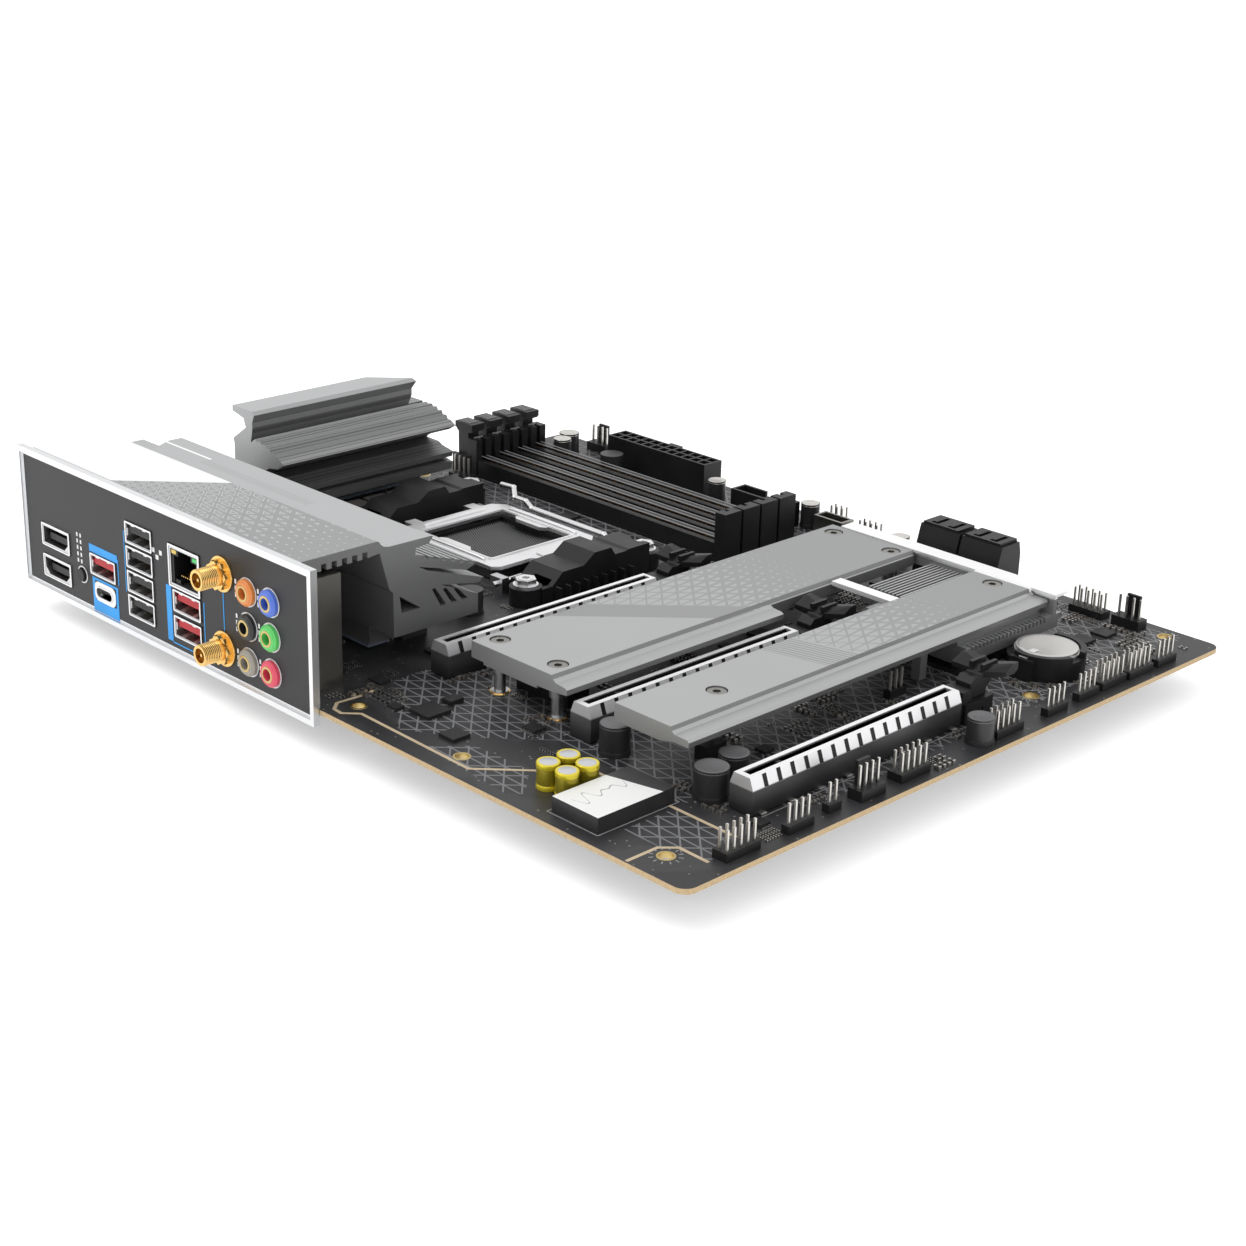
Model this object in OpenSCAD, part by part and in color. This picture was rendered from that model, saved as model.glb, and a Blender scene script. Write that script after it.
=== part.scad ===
// ATX desktop motherboard with rear I/O plate, heatsinks, processor socket,
// four memory slots and three armoured expansion slots.
// Board coordinates used below: x from the rear edge to the front edge,
// y from the slot edge to the processor edge, z up from the component side.
// at() moves them to the part frame: origin at the centre of the four outer
// mounting holes, on the underside of the board.

/* [Board] */
// Board length from rear edge to front edge
board_x = 243.84; // [243:0.01:245]
// Board width from slot edge to processor edge
board_y = 304.8; // [304:0.01:306]
// Board thickness
board_t = 1.6; // [1.4:0.1:1.8]
// Corner radius of the board
corner_r = 4; // [2:0.5:6]
// Mounting hole diameter
hole_d = 3.96; // [3.8:0.02:4.2]

/* [Rear plate] */
// Width of the plate's outer frame
plate_w = 158.75; // [156:0.05:160]
// Height of the plate's outer frame
plate_h = 47.8; // [46:0.1:49]
// How far the frame reaches below the component side
plate_drop = 4.9; // [4:0.1:5.5]
// Width of the bright frame around the dark face
frame_w = 1.7; // [1.4:0.1:3.5]

/* [Expansion slots] */
// Length of a slot body
slot_len = 89; // [88:0.5:90]
// Height of a slot above the board
slot_h = 11; // [10.5:0.1:11.5]
// Distance between neighbouring slots (three 20.32 mm places)
slot_pitch = 60.96; // [60.9:0.01:61]

/* [Memory slots] */
// Distance between neighbouring memory slots
mem_pitch = 9.35; // [9.2:0.05:9.6]
// Height of a memory slot body
mem_h = 6.5; // [6:0.1:7]
// Height of the fixed end tower
mem_tower_h = 18; // [16:0.5:19]

/* [Processor socket] */
// Cooler hole distance along x
cooler_x = 54; // [54:0.1:54.2]
// Cooler hole distance along y
cooler_y = 90; // [90:0.1:90.2]

/* [Heatsinks] */
// Height of the rear heatsink above the board
rear_sink_h = 41.4; // [40:0.1:42]
// Height of the top heatsink above the board
top_sink_h = 41; // [40:0.1:42]
// Height of the two flat plates above the board
plate_top = 16.4; // [16:0.1:17]

/* [Hidden] */
$fn = 40;
eps = 0.01;

// Mounting holes: three rows from the rear edge, three columns from the slot edge
hole_x = [10.16, 165.1, 237.49];
hole_y = [16.51, 140.97, 298.45];
extra_hole = [10.16, 95.25];
datum_x = (hole_x[0] + hole_x[2]) / 2;
datum_y = (hole_y[0] + hole_y[2]) / 2;

// Rear plate
plate_y0 = board_y - plate_w;
plate_z0 = -plate_drop;
plate_z1 = plate_h - plate_drop;
plate_x0 = -2.2;
face_x0 = -1.3;
face_t = 0.8;
port_face_x = -1.6;
port_gap = 0.25;

// Rear ports: centre y, centre z, width, height of each shell
dp_at = [284.6, 15.4];
hdmi_at = [284.6, 4.6];
video_size = [16.6, 7.6];
button_at = [269.5, 7.2];
button_r = 2.1;
typec_a_at = [256.6, 12.9];
typec_at = [256.6, 4.2];
usb_size = [14.4, 7.0];
typec_size = [10.6, 5.0];
usb2_y = 234.9;
usb2_z = [29.3, 21.2, 13.1, 5.0];
lan_at = [210.3, 25.0];
lan_size = [16.4, 13.6];
lan_usb_z = [13.9, 5.4];
antenna_y = 190.4;
antenna_z = [29.6, 5.8];
thread_r = 3.175;
antenna_tip_x = -10.5;
jack_y = [166.9, 178.1];
jack_z = [27.2, 16.35, 5.1];
jack_ring_r = 4.1;
jack_hole_r = 1.8;
jack_depth = 14;

// Rear heatsink runs along y
rear_sink_y0 = 157;
rear_sink_len = 146;

// Top heatsink runs along x
top_sink_x0 = 83;
top_sink_len = 78;

// Socket: centre of the cooler hole rectangle
socket_x = 129.4;
socket_y = 216.2;
window_x = [109.8, 146.2];
window_y = [196.6, 232];
cooler_hole_r = 2.1;
lever_r = 1.1;
lever_y = 183.6;
lever_z = 3.6;
lever_rod_x = 155.7;
load_hinge_y = 243;
load_hinge_z = 4;
load_pin_r = 0.9;

// Memory slots
mem_x0 = 182.5;
mem_y0 = 154.3;
mem_w = 6.8;
mem_end_w = 8.3;
mem_slot_y1 = 288.8;
latch_y = 292.2;
latch_z = 3;
latch_pin_r = 0.9;

// Expansion slots
slot_x0 = 42.4;
slot_y0 = 20.6;
slot_w = 7.4;
clip_x = 139.6;
clip_z = 3;

// Flat heatsink plates
m2_x = [41.3, 203];
m2_y = [93, 127.3];
cs_x = [41.3, 200.6];
cs_y = [46.1, 67.6];
m2_screws = [[48.2, 122.5], [48.2, 97.7], [197.3, 122], [197.3, 97.4]];
cs_screws = [[68.7, 55], [198, 56.8]];
screw_shank_r = 1.25;
standoff_r = 2.4;

// Battery
cell_x = 186;
// Height of the coin cell's underside above the board
cell_seat = 4.4; // [3:0.1:6]
cell_y = 26.3;
cell_r = 10;

// Pin headers: x, y of the low corner, pins along x, pins along y
pitch = 2.54;
headers = [[18.4, 3.4, 5, 2], [41.6, 3.4, 4, 1], [59, 4.6, 2, 1],
  [87.8, 3.5, 5, 2], [130.8, 3.5, 5, 2], [155.2, 3.5, 4, 1],
  [171.6, 3.9, 4, 1], [183.9, 4, 5, 2], [197.4, 3.4, 5, 2],
  [212.6, 3.2, 4, 1], [130.6, 42.2, 3, 1], [233.2, 38, 2, 5],
  [236, 150, 2, 3], [231, 130, 2, 4]];
header_h = 2.5;
pin_top = 8.5;
pin_w = 0.64;
// Fan headers: x, y, 1 when the four pins run along y
fans = [[70.4, 3, 0], [234, 24.6, 1], [236.6, 273, 1], [168.4, 277.5, 1]];

// Dark capacitors: x, y, radius, height
caps = [[43.6, 69.4, 4.4, 9], [43.4, 32.6, 4.9, 9], [55, 35.2, 4.4, 8.6],
  [126.4, 6.4, 4, 8], [218.4, 278.2, 3.6, 9], [226, 282.4, 3.9, 9],
  [219.2, 251.3, 4.4, 9], [226, 202.6, 3.4, 9], [232.4, 162.2, 3.4, 9],
  [229.6, 118.6, 3.2, 8.6], [83.6, 176.6, 4, 8], [83.6, 188, 4, 8],
  [83.6, 199.4, 4, 8], [83.6, 210.8, 4, 8], [83.6, 222.2, 4, 8],
  [83.6, 233.6, 4, 8], [83.6, 245, 4, 8]];
audio_caps = [[14.8, 58], [22.2, 58], [14.8, 65.4], [22.2, 65.4]];

module at(x = 0, y = 0, z = 0) {
  translate([x - datum_x, y - datum_y, z + board_t]) children();
}

// Extrudes an outline drawn in (x, z) along +y
module along_y(len) {
  translate([0, len, 0]) rotate([90, 0, 0]) linear_extrude(len) children();
}

// Extrudes an outline drawn in (y, z) along +x
module along_x(len) {
  rotate([90, 0, 90]) linear_extrude(len) children();
}

// ---------- board ----------
module board_outline() {
  translate([corner_r, 0]) square([board_x - 2 * corner_r, board_y]);
  translate([0, corner_r]) square([board_x, board_y - 2 * corner_r]);
  for (x = [corner_r, board_x - corner_r], y = [corner_r, board_y - corner_r])
    translate([x, y]) circle(corner_r);
}

module at_cooler_holes() {
  for (sx = [-1, 1], sy = [-1, 1])
    at(socket_x + sx * cooler_x / 2, socket_y + sy * cooler_y / 2) children();
}

module pcb() {
  color("#3a3b3d") difference() {
    at(0, 0, -board_t) linear_extrude(board_t) board_outline();
    for (x = hole_x, y = hole_y)
      at(x, y, -board_t - 1) cylinder(d = hole_d, h = board_t + 2);
    at(extra_hole[0], extra_hole[1], -board_t - 1) cylinder(d = hole_d, h = board_t + 2);
    at_cooler_holes() translate([0, 0, -board_t - 1]) cylinder(r = 3.2, h = board_t + 2);
  }
}

// ---------- rear plate and ports ----------
// Outline of a shell on the plate, drawn in (y, z)
module port_outline(c, s, grow = 0) {
  translate([c[0] - s[0] / 2 - grow, c[1] - s[1] / 2 - grow])
    square([s[0] + 2 * grow, s[1] + 2 * grow]);
}

module plate_cutouts() {
  g = port_gap;
  port_outline(dp_at, video_size, g);
  port_outline(hdmi_at, video_size, g);
  port_outline(typec_a_at, usb_size, g);
  port_outline(typec_at, typec_size, g);
  for (z = usb2_z) port_outline([usb2_y, z], usb_size, g);
  port_outline(lan_at, lan_size, g);
  for (z = lan_usb_z) port_outline([lan_at[0] - 0.8, z], usb_size, g);
}

module io_plate() {
  color("#d8dadc") at() translate([0, plate_y0, 0]) {
    difference() {
      translate([plate_x0, 0, plate_z0]) cube([-face_x0 + plate_x0 + 3.3, plate_w, plate_h]);
      translate([plate_x0 - 1, frame_w, plate_z0 + frame_w])
        cube([9, plate_w - 2 * frame_w, plate_h - 2 * frame_w]);
      translate([face_x0 + face_t, 0.7, plate_z0 + 0.7])
        cube([9, plate_w - 1.4, plate_h - 1.4]);
      translate([-0.3, -1, -board_t - 0.3]) cube([9, plate_w + 2, board_t + 0.6]);
    }
  }
  color("#3c3c3d") difference() {
    at(face_x0, plate_y0 + frame_w - eps, plate_z0 + frame_w - eps)
      cube([face_t, plate_w - 2 * frame_w + 2 * eps, plate_h - 2 * frame_w + 2 * eps]);
    at(face_x0 - 1) along_x(face_t + 2) plate_cutouts();
    at(face_x0 - 1, button_at[0], button_at[1]) rotate([0, 90, 0])
      cylinder(r = button_r + 0.2, h = face_t + 2);
    for (z = antenna_z) at(face_x0 - 1, antenna_y, z) rotate([0, 90, 0])
      cylinder(r = thread_r + 0.15, h = face_t + 2);
    for (y = jack_y, z = jack_z) at(face_x0 - 1, y, z) rotate([0, 90, 0])
      cylinder(r = jack_ring_r + 0.25, h = face_t + 2);
  }
}

// A steel shell open at the rear, with a contact tongue inside
module port_shell(c, s, depth, wall, tongue_z) {
  at(port_face_x, c[0] - s[0] / 2, c[1] - s[1] / 2) {
    difference() {
      cube([depth, s[0], s[1]]);
      translate([-1, wall, wall]) cube([depth, s[0] - 2 * wall, s[1] - 2 * wall]);
    }
    translate([1.6, s[0] / 2 - s[0] * 0.32, s[1] / 2 + tongue_z])
      cube([depth - 1.7, s[0] * 0.64, 1.2]);
  }
}

// Fills the stack behind and between the shells down to the board
module stack_body(y0, w, top, depth) {
  at(port_face_x + 3, y0, 0) cube([depth - 3, w, top]);
}

module display_ports() {
  color("#9a9ca0") for (c = [dp_at, hdmi_at]) port_shell(c, video_size, 12, 1, -0.6);
  color("#1c1c1d") at(port_face_x + 12, dp_at[0] - 8.3, 0) cube([5, 16.6, 19.2]);
}

module usb_c_stack() {
  color("#b9bbbe") {
    port_shell(typec_a_at, usb_size, 13, 0.7, 0.4);
    port_shell(typec_at, typec_size, 13, 0.9, -0.4);
  }
  color("#1c1c1d") at(port_face_x + 13, typec_at[0] - 7.2, 0) cube([4, 14.4, 16.4]);
}

module usb2_stack() {
  color("#a9abae") for (z = usb2_z) port_shell([usb2_y, z], usb_size, 13, 0.7, 0.4);
  color("#1c1c1d") at(port_face_x + 13, usb2_y - 7.2, 0) cube([6, 14.4, 32.8]);
}

module usb_pair_stack() {
  color("#a9abae") for (z = lan_usb_z) port_shell([lan_at[0] - 0.8, z], usb_size, 13, 0.7, 0.4);
  color("#1c1c1d") at(port_face_x + 13, lan_at[0] - 8.2, 0)
    cube([7, 16.4, lan_at[1] - lan_size[1] / 2]);
}

// Open box with a step along its upper edges, as a modular plug needs
module network_port() {
  color("#a9abae") at(port_face_x, lan_at[0] - lan_size[0] / 2, lan_at[1] - lan_size[1] / 2)
    difference() {
      cube([20, lan_size[0], lan_size[1]]);
      translate([-1, 1.2, 1.2]) cube([13, lan_size[0] - 2.4, lan_size[1] - 2.4]);
    }
}

module antenna_connectors() {
  color("#d8a03c") for (z = antenna_z) at(0, antenna_y, z) rotate([0, -90, 0]) {
    difference() {
      translate([0, 0, -9]) cylinder(r = thread_r, h = -antenna_tip_x + 9);
      translate([0, 0, -antenna_tip_x - 5]) cylinder(r = 2.3, h = 6);
    }
    translate([0, 0, -antenna_tip_x - 5.5]) cylinder(r = 0.5, h = 5);
    translate([0, 0, -face_x0]) cylinder(r = 4.6, h = 0.5);
    translate([0, 0, -face_x0 + 0.5 - eps]) cylinder(r = 4.6, h = 2.4, $fn = 6);
  }
}

// Folded steel cover round the audio sockets
module audio_jack_block() {
  color("#8d8f92") at(0.2, 154.8, 0) difference() {
    cube([15, 29.2, 36]);
    translate([-1, 0.5, -1]) cube([15.4, 28.2, 36.4]);
  }
}

// Six sockets, each a plastic body with a coloured ring and a round hole
module audio_jacks() {
  color("#2f6fc4") for (y = jack_y, z = jack_z) at(0, y, z) difference() {
    union() {
      translate([0.2, -5.4, -5]) cube([14, 10.8, 10]);
      translate([-2.4, 0, 0]) rotate([0, 90, 0]) cylinder(r = jack_ring_r, h = 2.6 + eps);
      translate([-3.2, 0, 0]) rotate([0, 90, 0]) cylinder(r1 = jack_ring_r - 0.8,
        r2 = jack_ring_r, h = 0.8 + eps);
    }
    translate([-4, 0, 0]) rotate([0, 90, 0]) cylinder(r = jack_hole_r, h = jack_depth + 3);
  }
}

module update_button() {
  color("#6f7173") at(0, button_at[0], button_at[1]) rotate([0, 90, 0]) {
    translate([0, 0, -2.3]) cylinder(r = button_r, h = 7.3);
    translate([0, 0, 0.6]) cylinder(r = button_r + 0.9, h = 1);
  }
}

// ---------- heatsinks ----------
module rear_sink_outline() {
  h = rear_sink_h;
  difference() {
    union() {
      // top slab, step and ridge
      polygon([[1.4, h - 2.8], [9, h - 4.4], [26.4, h - 4.4], [31.4, h - 3.8],
        [44, h - 5.4], [50, h - 5], [51.6, h - 3.3], [51.2, h - 2.8],
        [34.8, h - 2.6], [33, h - 2.2], [31.8, h - 1.4], [31.2, h - 0.4],
        [30.4, h], [3, h], [1.4, h - 1.4]]);
      // slanted trunk and base
      polygon([[31, h - 2.9], [45, h - 4.6], [44.8, 33.8], [46, 33.6], [69.6, 26],
        [64.9, 24.4], [46, 29.8], [50, 27.6], [72, 20.4], [69.6, 19.2], [54.6, 22],
        [69.6, 15.6], [69.6, 9.4], [36.4, 9.4], [36.2, 23.9], [34.8, 25.2]]);
    }
    // comb slots under the slab
    for (i = [0:4]) translate([9.9 + i * 3.75, h - 5.4]) square([1.9, 3]);
    // pocket between base wall and trunk
    polygon([[38.6, 22.2], [46.6, 16.6], [39.4, 16.6]]);
    // slanted slots between the lower fins
    for (i = [0:2]) translate([54.6 + i * 4.3, 15.2]) polygon([[0, 0], [2.2, 0],
      [-2.2, 6.4 - i], [-3.4, 6.2 - i]]);
    // ribs on the upper fin group
    for (i = [0:5]) translate([48.4 + i * 3.5, 32 - i * 1.13]) rotate(-18) square([1.5, 2.4]);
  }
}

module io_heatsink() {
  color("#a7a9ab") difference() {
    at(0, rear_sink_y0, 0) {
      along_y(rear_sink_len) rear_sink_outline();
      translate([38, 14, 2.4]) cube([9, 118, 7.1]);
    }
    // the ridge beside the cover ends in a diagonal
    at(0, 0, 36) linear_extrude(20)
      polygon([[31.6, 281.2], [46, 289], [60, 289], [60, 310], [31.6, 310]]);
  }
}

module top_sink_outline() {
  h = top_sink_h;
  polygon([[304.6, h], [292.9, h], [291.8, h - 1.2], [293, h - 4], [293, 34.6],
    [294.2, 29.6], [291.6, 31.4], [290.8, 30.6], [288.6, 31.2], [287.8, 30.2],
    [285.8, 30.6], [285, 29.4], [283, 29.8], [282.2, 28.4], [280.2, 28.6],
    [279.4, 27.2], [277.8, 27.2], [275, 25.6], [278.6, 23.4], [283.6, 22.6],
    [290.4, 18.6], [291.6, 17.6], [284.6, 17.4], [282.6, 16.4], [276.4, 15.4],
    [277, 13.4], [283.6, 12.6], [276.8, 11.4], [277.4, 8.4], [304.2, 8.4],
    [304.2, 27.2], [304.7, 29], [297, 34.4], [298.2, 37.6], [304.7, h - 2]]);
}

module top_heatsink() {
  color("#b4b6b8") difference() {
    union() {
      at(top_sink_x0) along_x(top_sink_len) top_sink_outline();
      at(top_sink_x0 + 4, 291, 2.4) cube([70, 9, 6.2]);
    }
    // the cap ends in a diagonal
    at(top_sink_x0 + top_sink_len, 288, 31)
      linear_extrude(12) polygon([[-19, 17], [0.5, -1], [6, 22], [-19, 22]]);
    // slot through the back, behind the neck
    at(top_sink_x0 - 1, 296, 12) cube([top_sink_len + 2, 4, 9]);
  }
}

rear_choke_y = [for (i = [0:9]) 172 + i * 11.2];
top_choke_x = [for (i = [0:6]) 85.6 + i * 10.4];

module power_chokes() {
  color("#4a4645") {
    for (y = rear_choke_y) at(52, y, 0) cube([9.6, 9.6, 8]);
    for (x = top_choke_x) at(x, 267.2, 0) cube([8.8, 7.2, 7]);
  }
}

module power_stages() {
  color("#1d1d1f") {
    for (y = rear_choke_y) at(39.6, y + 1.8, 0) cube([5.6, 6, 1]);
    for (i = [0:6]) at(88.6 + i * 10, 292.4, 0) cube([6, 5.6, 1]);
  }
}

module heatsink_pads() {
  color("#7d8792") {
    at(38.6, 172.5, 1) cube([7.6, 115, 1.4]);
    at(52.4, 172.5, 8) cube([8.8, 115, 1.4]);
    at(88, 291.6, 1) cube([66, 7.4, 1.4]);
    at(53, 100, 9) cube([139, 21, 1.4]);
    at(166, 44, 2.2) cube([26, 26, 1.2]);
  }
}

// ---------- flat plates ----------
module m2_outline() {
  t = plate_top;
  polygon([[m2_y[1], t], [m2_y[0], t], [m2_y[0] - 0.6, t - 1.2], [m2_y[0] - 2, t - 2],
    [87.6, t - 2.3], [86.6, t - 2.8], [86.6, t - 4.4], [93.2, t - 5], [99, t - 5.2],
    [99, 10.4], [122, 10.4], [122, t - 5.2], [m2_y[1], t - 5.2]]);
}

module m2_heatsink() {
  color("#b6b8ba") difference() {
    at(m2_x[0]) along_x(m2_x[1] - m2_x[0]) m2_outline();
    // the stepped lip stops short of the middle slot's latch
    at(132.4, 80, 0) cube([80, 12, 30]);
    for (p = m2_screws) at(p[0], p[1], 0) {
      cylinder(r = screw_shank_r + 0.15, h = 30);
      translate([0, 0, plate_top - 2.2]) cylinder(r = 3.2, h = 5);
      cylinder(r = standoff_r + 0.4, h = plate_top - 5);
    }
  }
}

module cs_outline() {
  t = plate_top;
  polygon([[cs_y[1], t], [cs_y[0], t], [cs_y[0] - 0.4, t - 1.2], [cs_y[0] - 1.4, t - 1.9],
    [40, t - 2], [39.2, t - 2.6], [39.4, t - 4.2], [45.2, t - 4.2], [50, t - 5.4],
    [61, t - 5.4], [cs_y[1], t - 5.4]]);
}

module chipset_heatsink() {
  color("#b0b2b4") difference() {
    union() {
      at(cs_x[0]) along_x(cs_x[1] - cs_x[0] + 3) cs_outline();
      // finned floor between the two plates
      at(168.4, 67.4, 9) cube([41, 18.4, 4]);
      for (i = [0:10]) at(171, 68.6 + i * 1.55, 13 - eps) cube([32, 0.7, 1]);
      // bar across the recess
      at(160.6, 67.2, plate_top - 1.6) cube([4.4, 24.4, 1.4]);
      // end strip with its T-shaped section
      at(204.4, 37.4, 8) cube([1.6, 86, 8]);
      at(203.2, 36.4, plate_top - 0.6) cube([6.4, 87.4, 0.9]);
      // body on the chipset
      at(160.6, 41.4, 3.4) cube([42, 36, 8]);
      at(160.6, 37.4, 5) cube([48, 36.1, 4.6]);
      // support post
      at(147, 44.4, 0.8) cube([3.2, 3.2, 11.6]);
    }
    for (p = cs_screws) at(p[0], p[1], 0) {
      translate([0, 0, -1]) cylinder(r = screw_shank_r + 0.15, h = 30);
      translate([0, 0, plate_top - 2.2]) cylinder(r = 3.2, h = 5);
    }
    at(cs_screws[0][0], cs_screws[0][1], -1) cylinder(r = standoff_r + 0.4, h = plate_top - 4.4);
    at(cs_screws[1][0], cs_screws[1][1], -1) cylinder(r = standoff_r + 0.4, h = plate_top - 4.4);
    // comb slots along the near side of the body
    for (i = [0:19]) at(162.4 + i * 1.95, 36.4, 8) cube([0.9, 3.4, 3]);
    at(207.2, 36, 5) cube([4, 60, 2.6]);
    at(203, 67.4 + 18.4, 5) cube([8, 40, 6.6]);
  }
}

module heatsink_screws() {
  color("#6d6a62") for (p = concat(m2_screws, cs_screws)) at(p[0], p[1], 0) difference() {
    union() {
      translate([0, 0, 8]) cylinder(r = screw_shank_r, h = plate_top - 9);
      translate([0, 0, plate_top - 2.1]) cylinder(r = 2.8, h = 1.8);
    }
    translate([0, 0, plate_top - 1.3]) cylinder(r = 1.3, h = 3, $fn = 6);
  }
}

module heatsink_standoffs() {
  color("#8f9092") for (p = concat(m2_screws, cs_screws)) at(p[0], p[1], 0) difference() {
    union() {
      cylinder(r = standoff_r - 0.6, h = plate_top - 5.6);
      translate([0, 0, 6.4]) cylinder(r = standoff_r, h = plate_top - 12);
      cylinder(r = standoff_r + 0.35, h = 0.6);
    }
    translate([0, 0, 4]) cylinder(r = screw_shank_r + 0.05, h = 20);
  }
}

module m2_sockets() {
  color("#1a1a1b") {
    difference() {
      at(54, 99.6, 0) cube([8.6, 22, 4.2]);
      at(58, 100.8, 1.8) cube([6, 19.6, 1]);
    }
    difference() {
      at(58, 48, 0) cube([8, 4.6, 4.2]);
      at(62, 48.6, 1.8) cube([6, 3.4, 1]);
    }
  }
}

module chipset() {
  color("#2b2c2e") {
    at(160.6, 39.2, 0) cube([34, 34, 1.2]);
    at(168, 46, 1.2 - eps) cube([22, 22, 1 + eps]);
  }
}

// ---------- processor socket ----------
module socket_housing() {
  color("#1b1b1c") difference() {
    at(106.4, 193, 0) cube([44, 44.4, 4.2]);
    at(window_x[0] - 0.6, window_y[0] - 0.6, 2.6)
      cube([window_x[1] - window_x[0] + 1.2, window_y[1] - window_y[0] + 1.2, 3]);
  }
}

// Steel ring round the housing with the ears of both pivots
module socket_base() {
  color("#8c8e90") difference() {
    union() {
      at(101.4, 187.6, 0) cube([52.6, 57.6, 1.2]);
      for (x = [101.4, 150.2]) at(x, lever_y - 2, 0) cube([3, 6, lever_z + 2]);
      for (x = [108.6, 144.6]) at(x, load_hinge_y - 1.8, 0) cube([2.2, 4, load_hinge_z + 1.9]);
    }
    at(106, 192.6, -1) cube([44.8, 45.2, 4]);
    at(90, lever_y, lever_z) rotate([0, 90, 0]) cylinder(r = lever_r + 0.06, h = 80);
    at(90, load_hinge_y, load_hinge_z) rotate([0, 90, 0]) cylinder(r = load_pin_r + 0.06, h = 80);
  }
}

module load_frame_outline() {
  difference() {
    polygon([[104.4, 190.6], [107, 188.4], [120, 188.4], [122, 186.4], [134, 186.4],
      [136, 188.4], [148.6, 188.4], [151.6, 191], [151.6, 236], [148, 240.2],
      [108, 240.2], [104.4, 236.6]]);
    difference() {
      translate([window_x[0], window_y[0]]) square([window_x[1] - window_x[0],
        window_y[1] - window_y[0]]);
      for (x = window_x) translate([x, 216]) polygon([[-2.4, -6], [-1, -8], [1, -8],
        [2.4, -6], [2.4, 6], [1, 8], [-1, 8], [-2.4, 6]]);
    }
  }
}

module socket_load_frame() {
  color("#e4e5e6") {
    at(0, 0, 5.6) linear_extrude(1.2) load_frame_outline();
    for (x = [112, 139]) difference() {
      at(x, 239.8, 2.6) union() {
        translate([0, 0, 3]) cube([4.6, 5, 1.2]);
        translate([0, 1.7, 0]) cube([4.6, 3.1, 4.2]);
      }
      at(x - 1, load_hinge_y, load_hinge_z) rotate([0, 90, 0])
        cylinder(r = load_pin_r - 0.3, h = 8);
    }
    at(107.6, load_hinge_y, load_hinge_z) rotate([0, 90, 0])
      cylinder(r = load_pin_r, h = 40.2);
  }
}

// Locking lever: cross rod, long rod, raised crank and finger tip
module rod(p, q, last = false) {
  d = q - p;
  len = norm(d);
  translate(p) rotate([0, acos(d[2] / len), atan2(d[1], d[0])]) cylinder(r = lever_r, h = len);
  if (!last) translate(q) sphere(lever_r + 0.12);
}

lever_path = [[99, lever_y, lever_z], [lever_rod_x, lever_y, lever_z],
  [lever_rod_x, 190, 6.6], [lever_rod_x, 227, 6.6], [157.4, 232, 7.6],
  [157.4, 238, 7.6], [158.6, 240, 10.6], [158.6, 246.4, 10.2]];

module socket_lever() {
  n = len(lever_path) - 2;
  color("#d2d3d4") at() for (i = [0:n]) rod(lever_path[i], lever_path[i + 1], i == n);
}

// Plastic cooler bracket, drawn on the near side; the far one is its mirror
module bracket_shape() {
  translate([socket_x, 0, 0]) {
    difference() {
      union() {
        along_y(15.2) polygon([[-24.6, 0], [24.6, 0], [24.6, 10.6], [15, 10.6],
          [13.4, 10.2], [8.4, 10.2], [6.4, 13], [-1, 13], [-6, 9.6], [-15.4, 9.6], [-20, 5.6],
          [-24.6, 5.6]]);
        for (x = [-27, 27]) translate([x, 5.2, 0]) cylinder(r = 5.4, h = 6.2);
      }
      // clear of the screws, of the ring under the load frame and of the cross rod
      for (x = [-27, 27]) translate([x, 5.2, 0]) {
        translate([0, 0, -1]) cylinder(r = cooler_hole_r, h = 20);
        translate([0, 0, 6.2]) cylinder(r = 4.5, h = 20);
      }
      translate([-22, 2, -1]) cube([44, 8, 8]);
    }
  }
}

module cooler_brackets() {
  color("#161617") {
    at(0, socket_y - cooler_y / 2 - 5.2, 0) bracket_shape();
    at(0, socket_y + cooler_y / 2 + 5.2, 0) mirror([0, 1, 0]) bracket_shape();
  }
}

module bracket_screws() {
  color("#c8c6c0") at_cooler_holes() {
    difference() {
      union() {
        translate([0, 0, 6.2]) cylinder(r = 4.2, h = 0.7);
        translate([0, 0, 6.9 - eps]) cylinder(r = 3.6, h = 1.9, $fn = 6);
      }
      translate([0, 0, 7.6]) cylinder(r = 1.6, h = 3);
    }
    translate([0, 0, -board_t - 1.6]) cylinder(r = 1.5, h = board_t + 8.2);
  }
}

module socket_backplate() {
  color("#3d3e40") difference() {
    union() {
      at(socket_x - 30, socket_y - 48, -board_t - 1.7) cube([60, 96, 1.6]);
      at_cooler_holes() translate([0, 0, -board_t - 1.7]) cylinder(r = 3, h = board_t + 1.7);
    }
    at(socket_x - 14.5, socket_y - 14.5, -board_t - 2) cube([29, 29, 3]);
    at_cooler_holes() translate([0, 0, -board_t - 2]) cylinder(r = 1.55, h = board_t + 3);
  }
}

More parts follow.
